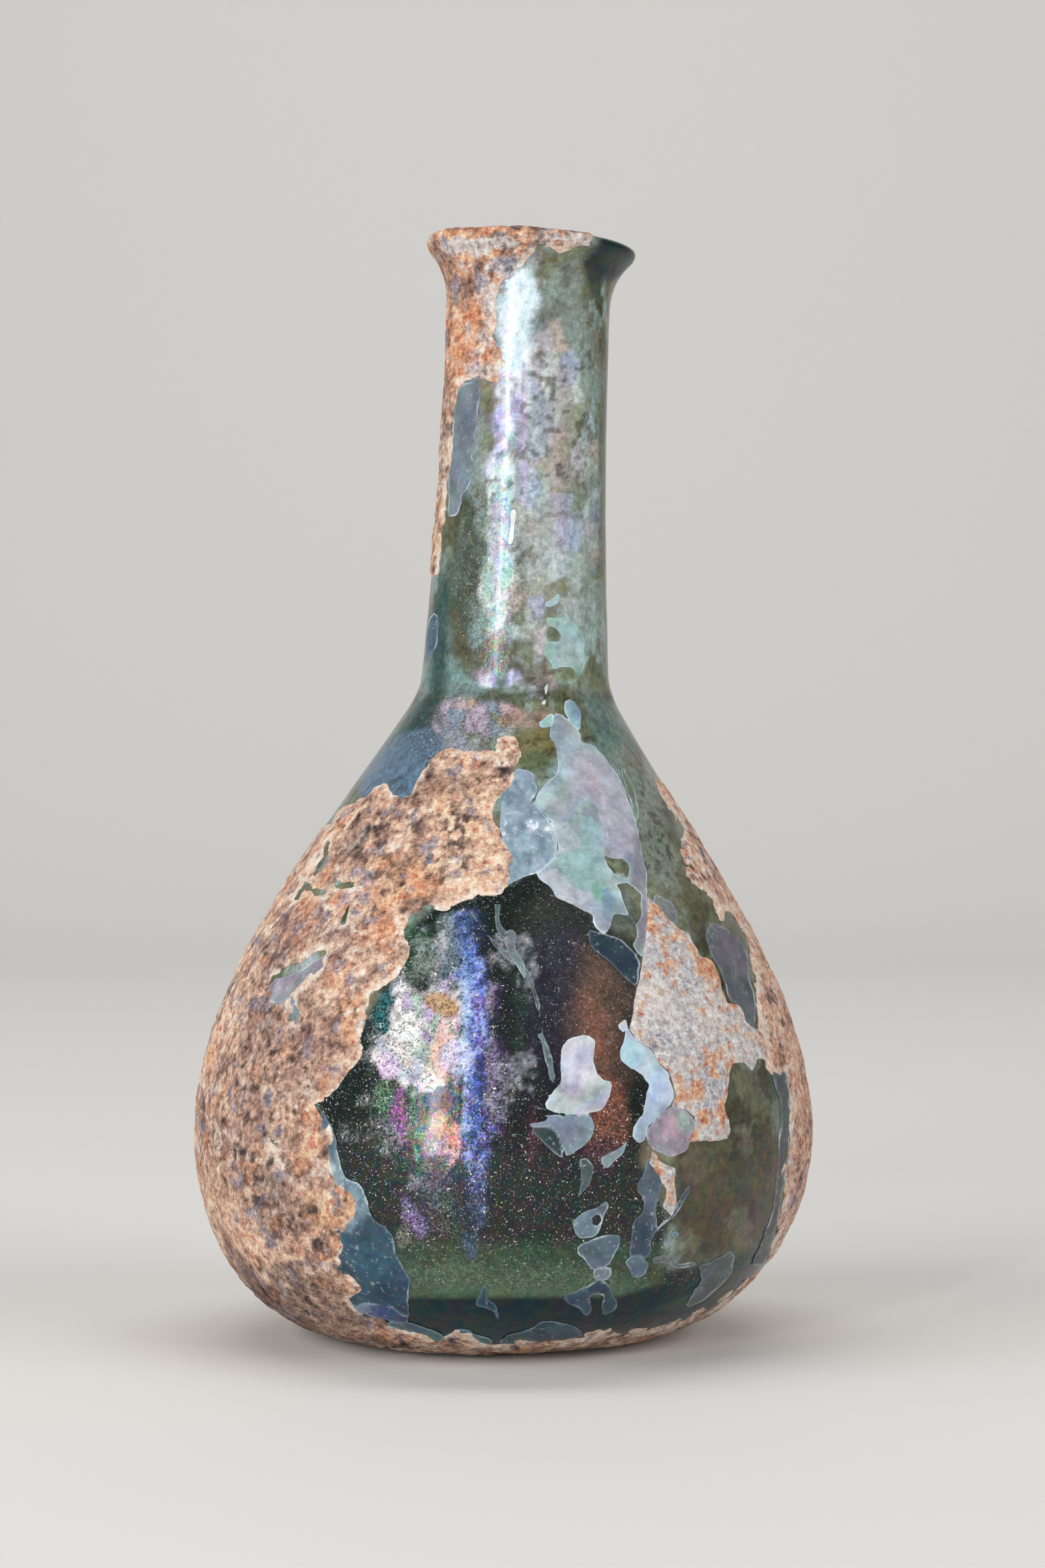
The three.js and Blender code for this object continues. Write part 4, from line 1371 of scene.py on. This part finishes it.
# %% Flakes in the middle of the window
CENTRE_FLAKES = {
    "crack": ([(704, 1361), (721, 1386), (737, 1405), (766, 1435), (791, 1451), (802, 1481),
        (811, 1511), (819, 1560), (829, 1604), (826, 1605), (815, 1561), (807, 1512), (798, 1483),
        (788, 1454), (763, 1438), (735, 1408), (719, 1389), (702, 1363)], colour(104, 118, 122),
        0.2),
    "dark_film": ([(884, 1392), (900, 1398), (930, 1404), (956, 1428), (962, 1440), (958, 1482),
        (940, 1466), (916, 1440), (886, 1422)], colour(52, 66, 78), 0.7),
    "white_tooth": ([(890, 1366), (902, 1368), (912, 1378), (911, 1398), (905, 1400),
        (892, 1384)], colour(196, 212, 210), 0.9),
    "shining": ([(844, 1572), (855, 1558), (873, 1552), (888, 1554), (895, 1565), (890, 1587),
        (895, 1608), (906, 1621), (920, 1623), (914, 1650), (905, 1665), (888, 1669), (866, 1672),
        (836, 1670), (816, 1661), (829, 1639), (844, 1624), (842, 1598)], colour(178, 184, 192),
        0.92),
    "under_shining": ([(794, 1686), (822, 1680), (815, 1672), (840, 1674), (866, 1675),
        (888, 1672), (895, 1695), (881, 1717), (851, 1739), (846, 1722), (836, 1697), (826, 1690),
        (800, 1692)], colour(124, 138, 152), 0.8),
    "dim": ([(796, 1692), (826, 1690), (836, 1700), (848, 1738), (838, 1737), (812, 1712)],
        colour(52, 66, 70), 0.8),
    "thread": ([(806, 1552), (812, 1560), (822, 1600), (828, 1625), (834, 1620), (830, 1590),
        (820, 1562), (812, 1548)], colour(110, 124, 128), 0.6),
    "right_film": ([(942, 1528), (947, 1546), (958, 1561), (977, 1572), (990, 1594), (1004, 1606),
        (1012, 1630), (1016, 1645), (1006, 1660), (990, 1676), (973, 1691), (970, 1712),
        (960, 1716), (951, 1704), (953, 1690), (966, 1672), (972, 1650), (976, 1628), (968, 1614),
        (950, 1602), (934, 1592), (930, 1580), (936, 1563)], colour(162, 178, 190), 0.9),
    "rose_film": ([(1006, 1660), (1030, 1664), (1046, 1680), (1042, 1706), (1030, 1730),
        (1008, 1736), (985, 1728), (972, 1712), (975, 1690)], colour(146, 142, 148), 0.85),
    "small_top": ([(927, 1538), (942, 1527), (943, 1545), (936, 1552)], colour(170, 180, 180),
        0.9),
    "shard": ([(903, 1739), (914, 1732), (934, 1722), (943, 1712), (938, 1730), (928, 1740),
        (914, 1754), (906, 1750)], colour(120, 140, 144), 0.85),
    "crescent": ([(868, 1738), (884, 1737), (892, 1752), (888, 1772), (876, 1790), (868, 1796),
        (874, 1772), (872, 1754)], colour(76, 96, 96), 0.6),
}
print(len(CENTRE_FLAKES), "flakes in the middle")

# %% Flakes low down, where the window meets the foot
LOWER_FLAKES = {
    "ring": ([(858, 1835), (881, 1817), (900, 1812), (912, 1802), (916, 1810), (908, 1830),
        (895, 1857), (869, 1861), (862, 1845)], colour(80, 96, 110), 0.8),
    "heart": ([(866, 1872), (888, 1863), (912, 1856), (932, 1855), (932, 1868), (926, 1884),
        (914, 1902), (888, 1909), (880, 1895), (866, 1884)], colour(94, 110, 124), 0.85),
    "below": ([(892, 1908), (914, 1903), (920, 1912), (910, 1924), (893, 1923)],
        colour(128, 140, 144), 0.8),
    "fan": ([(937, 1896), (952, 1886), (962, 1878), (968, 1896), (976, 1898), (966, 1918),
        (950, 1918), (946, 1904)], colour(96, 112, 126), 0.85),
    "claw": ([(845, 1950), (866, 1942), (888, 1930), (900, 1922), (914, 1930), (930, 1961),
        (922, 1972), (905, 1978), (902, 1962), (906, 1948), (896, 1944), (884, 1948), (892, 1968),
        (882, 1981), (868, 1966), (856, 1962)], colour(60, 78, 92), 0.75),
    "column": ([(977, 1735), (968, 1760), (958, 1785), (969, 1802), (966, 1822), (951, 1835),
        (950, 1860), (943, 1883), (958, 1890), (977, 1887), (980, 1857), (1000, 1838),
        (1020, 1820), (1036, 1791), (1040, 1775), (1022, 1800), (1010, 1828), (996, 1836),
        (988, 1845), (985, 1820), (992, 1790), (996, 1765), (990, 1745)], colour(64, 76, 92),
        0.7),
    "corner": ([(1047, 1900), (1070, 1896), (1088, 1886), (1099, 1879), (1106, 1890),
        (1100, 1912), (1080, 1935), (1056, 1955), (1030, 1966), (1040, 1945), (1058, 1925)],
        colour(86, 94, 96), 0.8),
    "scrap": ([(980, 1890), (1000, 1882), (1006, 1892), (1020, 1900), (1040, 1896), (1056, 1900),
        (1040, 1904), (1016, 1906), (1000, 1898), (984, 1900)], colour(104, 112, 112), 0.7),
    "dot": ([(1010, 1852), (1016, 1848), (1022, 1853), (1018, 1860), (1011, 1859)],
        colour(90, 120, 124), 0.8),
    "foot_film": ([(745, 2022), (765, 2005), (800, 1998), (812, 1985), (840, 1988), (872, 1998),
        (876, 2010), (820, 2018)], colour(58, 84, 94), 0.7),
    "foot_left": ([(640, 2004), (665, 1996), (700, 1998), (712, 2006), (735, 2012), (742, 2026),
        (700, 2010), (660, 2018)], colour(70, 104, 114), 0.75),
    "foot_wisp": ([(722, 1940), (728, 1925), (731, 1950), (744, 1962), (748, 1985), (740, 1970),
        (720, 1966), (712, 1960)], colour(46, 78, 92), 0.7),
}
LOWER_HOLES = [
    [(889, 1829), (896, 1823), (904, 1826), (903, 1835), (897, 1841), (891, 1838)],
]
print(len(LOWER_FLAKES), "flakes low down")

# %% Flakes on the left, beside and in the crust
LEFT_FLAKES = {
    "blue_pool": ([(488, 1742), (502, 1739), (517, 1769), (539, 1776), (548, 1800), (556, 1826),
        (575, 1842), (590, 1858), (594, 1887), (606, 1905), (615, 1925), (610, 1950), (611, 1983),
        (570, 1982), (530, 1972), (505, 1920), (500, 1840), (525, 1815)], colour(48, 76, 92),
        0.8),
    "pool_foot": ([(528, 1945), (560, 1940), (600, 1948), (608, 1976), (611, 1990), (560, 1982),
        (530, 1972)], colour(58, 70, 108), 0.8),
    "pool_top": ([(480, 1660), (500, 1700), (506, 1740), (520, 1775), (515, 1795), (498, 1770),
        (488, 1720), (476, 1680)], colour(72, 92, 106), 0.7),
    "band": ([(596, 1985), (640, 1995), (668, 2010), (655, 2020), (600, 2000), (570, 1990)],
        colour(76, 108, 120), 0.75),
    "flake_window": ([(498, 1418), (486, 1434), (470, 1440), (440, 1460), (404, 1470),
        (396, 1500), (430, 1510), (446, 1500), (462, 1480), (486, 1450)], colour(132, 130, 142),
        0.95),
    "shell": ([(536, 1508), (543, 1505), (547, 1530), (540, 1552), (534, 1560), (532, 1535)],
        colour(140, 152, 160), 0.9),
    "torn_top": ([(744, 1330), (752, 1345), (748, 1370), (752, 1390), (768, 1404), (765, 1412),
        (750, 1402), (742, 1385)], colour(80, 96, 98), 0.6),
    "torn": ([(755, 1400), (768, 1392), (776, 1400), (772, 1420), (786, 1440), (790, 1470),
        (778, 1450), (764, 1430)], colour(112, 124, 124), 0.6),
}
print(len(LEFT_FLAKES), "flakes on the left")

# %% Flakes on the neck
NECK_FLAKES = {
    "left_film": ([(683, 582), (712, 572), (722, 590), (714, 622), (712, 655), (704, 682),
        (713, 700), (700, 730), (690, 745), (684, 772), (668, 776), (671, 715), (677, 646),
        (680, 608)], colour(116, 128, 138), 0.62),
    "low_patch": ([(820, 925), (841, 930), (848, 939), (855, 930), (872, 942), (879, 963),
        (881, 997), (875, 1011), (867, 1018), (865, 1004), (848, 999), (831, 1006), (827, 994),
        (817, 977), (824, 963), (841, 963), (846, 956), (838, 944), (824, 939)],
        colour(144, 170, 166), 0.85),
    "drop": ([(818, 905), (832, 898), (842, 890), (838, 905), (824, 912)], colour(160, 182, 182),
        0.85),
    "right_chip": ([(880, 815), (887, 806), (890, 824), (884, 830)], colour(150, 160, 160), 0.85),
    # A near-white flake in the neck's long highlight: partly its own pale colour, partly painted
    # highlight.
    "stroke": ([(765, 800), (767, 765), (773, 764), (772, 790), (768, 816), (762, 815)],
        colour(214, 222, 214), 0.95),
    "left_low": ([(637, 930), (650, 918), (656, 940), (654, 968), (640, 985), (634, 1000)],
        colour(74, 100, 116), 0.8),
}
print(len(NECK_FLAKES), "flakes on the neck")

# %% Flake material
pearly_skin, tree, shader = material_named(
    "pearly_skin", Roughness=0.3, Specular_IOR_Level=0.45, Thin_Film_IOR=1.4
)
paint = add(tree, "Attribute", attribute_name="paint")
crazing = ramp(
    tree, cloud(tree, 2.0, 9, 0.72, 0.3), (0.32, colour(120, 124, 130)),
    (0.5, colour(188, 188, 188)), (0.7, colour(236, 240, 242)),
)
base = layered(tree, 0.55, paint.outputs["Color"], crazing, "OVERLAY")
# White dots laid into the colour: painted glints.
glints = ranged(tree, cloud(tree, 0.7, 4, 0.7), 0.58, 0.68, 0.0, 0.3)
base = layered(tree, glints, base, colour(232, 240, 244))
tree.links.new(base, shader.inputs["Base Color"])
tree.links.new(paint.outputs["Alpha"], shader.inputs["Alpha"])
film = ranged(tree, cloud(tree, 5, 3), 0.3, 0.7, 280, 640)
tree.links.new(film, shader.inputs["Thin Film Thickness"])
relief(tree, shader, plus_part(tree, cloud(tree, 3, 3), cloud(tree, 0.5), 0.2), 0.12)

# %% Flake pieces
FLAKE_TOP, FLAKE_BOTTOM = 0.3, 0.36
BROKEN_EDGE, EDGE_WIDTH = colour(206, 220, 226), 0.2


def speckled(places, pixels):
    """Blue-grey film peppered with white."""
    shades = (colour(102, 122, 138), colour(126, 146, 158), colour(146, 162, 174),
              colour(236, 240, 244))
    pepper = 0.36 + 0.5 * noise(places, 0.8, 77, 3) + 0.25 * noise(places, 4, 78)
    return stepped(shades, pepper, 0.3)


FILM_ZONES = [
    ([(736, 1190), (775, 1151), (810, 1179), (806, 1209), (823, 1225), (836, 1245), (838, 1278),
      (820, 1298), (757, 1330), (736, 1300)], speckled, 0.9, 0.3, 0.4),
    (blob(866, 1285, 34, 46), colour(142, 168, 168), 0.7, 0.8, 1.2),
    (blob(858, 1140, 30, 40), colour(166, 184, 192), 0.7, 0.8, 1.2),
    ([(820, 1222), (839, 1232), (856, 1235), (873, 1255), (873, 1269), (853, 1275), (836, 1282),
      (830, 1292), (834, 1269), (826, 1242)], colour(176, 186, 194), 0.85, 0.12, 0.3),
    ([(856, 1143), (866, 1123), (889, 1126), (912, 1136), (926, 1159), (946, 1199), (956, 1239),
      (959, 1245), (952, 1279), (946, 1272), (936, 1287), (922, 1285), (916, 1269), (904, 1242),
      (899, 1212), (883, 1199), (866, 1192), (856, 1166)], colour(174, 170, 184), 0.75, 0.12,
      0.3),
    ([(866, 1219), (889, 1222), (902, 1239), (906, 1269), (909, 1295), (919, 1315), (899, 1315),
      (886, 1332), (869, 1332), (846, 1312), (836, 1292), (853, 1275), (873, 1272), (873, 1255)],
      colour(144, 176, 178), 0.75, 0.12, 0.3),
    ([(806, 1312), (833, 1298), (866, 1332), (889, 1338), (896, 1345), (873, 1358), (849, 1351),
      (833, 1342), (820, 1328)], colour(182, 186, 194), 0.75, 0.12, 0.3),
    (blob(892, 1170, 10, 26, -20), colour(196, 178, 190), 0.6, 0.5, 0.6),
    (blob(902, 1335, 12, 16, 20), colour(120, 166, 150), 0.7, 0.2, 0.4),
    (blob(915, 1350, 8, 20, -20), colour(120, 150, 186), 0.6, 0.3, 0.4),
    (blob(962, 1340, 12, 90), colour(132, 126, 136), 0.7, 0.3, 0.6),
    (blob(1000, 1365, 18, 24), colour(126, 128, 130), 0.6, 0.3, 0.4),
    (blob(1100, 1430, 20, 40, -30), colour(116, 110, 122), 0.6, 0.5, 0.8),
    (blob(950, 1580, 22, 22, 20), colour(168, 206, 216), 0.7, 0.3, 0.4),
    (blob(985, 1630, 14, 24), colour(176, 196, 222), 0.7, 0.3, 0.4),
    (blob(1006, 1690, 18, 22), colour(190, 158, 176), 0.7, 0.4, 1.0),
    (blob(1028, 1680, 12, 18), colour(146, 176, 160), 0.6, 0.4, 1.0),
    (blob(512, 1790, 44, 60), speckled, 0.75, 1.0, 2.0),
    (blob(886, 1840, 30, 20), speckled, 0.4, 1.0, 2.0),
    (blob(985, 1790, 30, 60), speckled, 0.3, 1.0, 2.0),
    (blob(868, 1610, 10, 40, 12), colour(150, 140, 168), 0.55, 0.6, 0.6),
]


def rounded(outline):
    """The outline with its corners cut: each side keeps its middle three fifths."""
    start = np.array(outline, float)
    end = np.roll(start, -1, axis=0)
    return np.stack([0.8 * start + 0.2 * end, 0.2 * start + 0.8 * end], 1).reshape(-1, 2)


def flake_paint(kinds, which, distances, cover, places, pixels, front, pearl):
    """Colours and cover of the flakes: each flake's own, times a share of rainbow and noise,
    under its zones. Broken edges are white, at the outline and, weaker, where two flakes meet,
    which is where a point lies about equally far inside both."""
    shades = np.array([(*shade[:3], alpha) for _, shade, alpha in kinds.values()])[which]
    alpha = shades[:, 3].copy()
    rainbow = pearly(places, 13, 72, 0.5)
    shades[:, :3] *= (1 - pearl) + 2 * pearl * rainbow[:, :3]
    shades[:, :3] *= 1 + 0.35 * noise(places, 2.4, 74, 5)[:, None]
    shades = painted(shades, FILM_ZONES, places, pixels, front * (cover > -1))
    shades[:, 3] = alpha
    worn = smooth(-0.1, 0.7, noise(places, 2.4, 75, 3))
    second, first = np.sort(distances, axis=0)[-2:]
    edge = (0.2 + 0.6 * worn) * (1 - smooth(0.0, EDGE_WIDTH, cover))
    meeting = (1 - smooth(0.0, EDGE_WIDTH, first - second)) * (second > -EDGE_WIDTH)
    edge = np.maximum(edge, 0.35 * meeting)[:, None]
    paint = shades * (1 - edge) + np.array(BROKEN_EDGE) * edge
    paint[:, 3] = np.minimum(paint[:, 3], alpha + 0.3)
    return paint


def flakes(name, kinds, angles, ways, holes, pearl):
    """Thin shells cut to the outlines, less the holes. Each place belongs to the flake that it
    lies furthest inside, and neighbouring flakes differ a little in depth."""
    angle, way, triangles = grid_over(np.radians(angles), ways)
    places, pixels, front = place_of(angle, way)
    rag = 0.1 * noise(places, 0.8, 71) + 0.16 * noise(places, 2.4, 76)
    outlines = [rounded(outline) for outline, _, _ in kinds.values()]
    distances = np.array([inside_of(pixels, outline) + rag for outline in outlines])
    cover = distances.max(0)
    if holes:
        cover = np.minimum(cover, -inside_any(pixels, holes) - rag)
    cover = np.where(front > 0.6, cover, -1)
    which = distances.argmax(0)
    paint = flake_paint(kinds, which, distances, cover, places, pixels, front, pearl)
    lift = 0.04 * noise(places, 4, 73) + 0.02 * (which % 3)
    top, bottom = (on_bottle(angle, way, depth + lift) for depth in (FLAKE_TOP, FLAKE_BOTTOM))
    rows = np.concatenate([top, bottom, paint], axis=1)
    points, faces, extra = closed(*cut(triangles, cover, rows))
    made = piece(name, points, faces, pearly_skin, extra)


for name, kinds, angles, (low, high, step), holes, pearl in (
    ("pearly_flakes_right", RIGHT_FLAKES, (268, 350, 0.4), (4, 84, 0.3), RIGHT_HOLES, 0.12),
    ("pearly_flakes_centre", CENTRE_FLAKES, (258, 318, 0.32), (18, 57, 0.24), (), 0.1),
    ("pearly_flakes_low", LOWER_FLAKES, (262, 334, 0.4), (0.5, 26, 0.24), LOWER_HOLES, 0.12),
    ("pearly_flakes_left", LEFT_FLAKES, (205, 275, 0.4), (0.3, 56, 0.3), (), 0.12),
    ("pearly_flakes_neck", NECK_FLAKES, (185, 350, 1.2), (84, 134, 0.26), (), 0.1),
):
    ways = np.arange(up_to(low), up_to(high), step)
    flakes(name, kinds, np.arange(*angles), ways, holes, pearl)

# %% [markdown]
# ## Stage and light
# A plain pale floor that curves up into a backdrop, and soft lights: one tall and narrow, close
# to the camera's left, which draws the long highlight down neck and body, and broad faint ones
# that fill the sides.


# %% Floor and backdrop
def sweep(width, depth, rise, bend):
    """Floor and backdrop in one sheet: level, then a quarter circle, then upright."""
    turn = np.radians(np.linspace(0, 90, 24))
    back = depth + bend * np.sin(turn)
    up = bend * (1 - np.cos(turn))
    path = np.concatenate([[[-3 * depth, 0]], np.stack([back, up], 1), [[depth + bend, rise]]])
    left = np.insert(path, 0, -width, axis=1)
    right = np.insert(path, 0, width, axis=1)
    count = len(path)
    low = np.arange(count - 1)
    quads = np.stack([low, low + count, low + count + 1, low + 1], 1)
    return np.concatenate([left, right]), quads


corners, quads = sweep(3.0, 0.9, 2.6, 0.6)
mesh = bpy.data.meshes.new("pale_floor")
mesh.from_pydata(corners.tolist(), [], quads.tolist())
mesh.polygons.foreach_set("use_smooth", np.ones(len(quads), bool))
PALE_GREY = colour(214, 212, 208)
floor_paint = material_named("pale_floor", Base_Color=PALE_GREY, Roughness=0.75)[0]
mesh.materials.append(floor_paint)
floor = bpy.data.objects.new("pale_floor", mesh)
bpy.context.scene.collection.objects.link(floor)


# %% Lights
def soft_light(name, place, target, size, watts, mirrored=True):
    """A flat lamp at place, in metres, turned to face target. Where it isn't mirrored, it leaves
    no image of itself in the glass."""
    lamp = bpy.data.lights.new(name, "AREA")
    lamp.shape, (lamp.size, lamp.size_y) = "RECTANGLE", size
    lamp.energy = watts
    made = bpy.data.objects.new(name, lamp)
    away = np.array(place, float) - np.array(target, float)
    flat = math.hypot(away[0], away[1])
    made.rotation_euler = (math.atan2(flat, away[2]), 0, math.atan2(away[0], -away[1]))
    made.location = place
    made.visible_glossy = mirrored
    bpy.context.scene.collection.objects.link(made)


soft_light("tall_strip", (-0.28, -0.62, 0.10), (0, 0, 0.07), (0.06, 0.42), 3.0)
soft_light("broad_left", (-0.9, -0.5, 0.5), (0, 0, 0.07), (0.8, 0.8), 9, False)
soft_light("broad_right", (0.9, -0.55, 0.45), (0, 0, 0.07), (0.8, 0.8), 8, False)
soft_light("over_backdrop", (0, 0.3, 1.6), (0, 1.3, 0.2), (1.6, 0.6), 16, False)

world = bpy.data.worlds.new("studio")
world.use_nodes = True
world.node_tree.nodes["Background"].inputs["Color"].default_value = colour(120, 122, 126)
world.node_tree.nodes["Background"].inputs["Strength"].default_value = 0.6
bpy.context.scene.world = world
bpy.context.scene.view_settings.view_transform = "Standard"
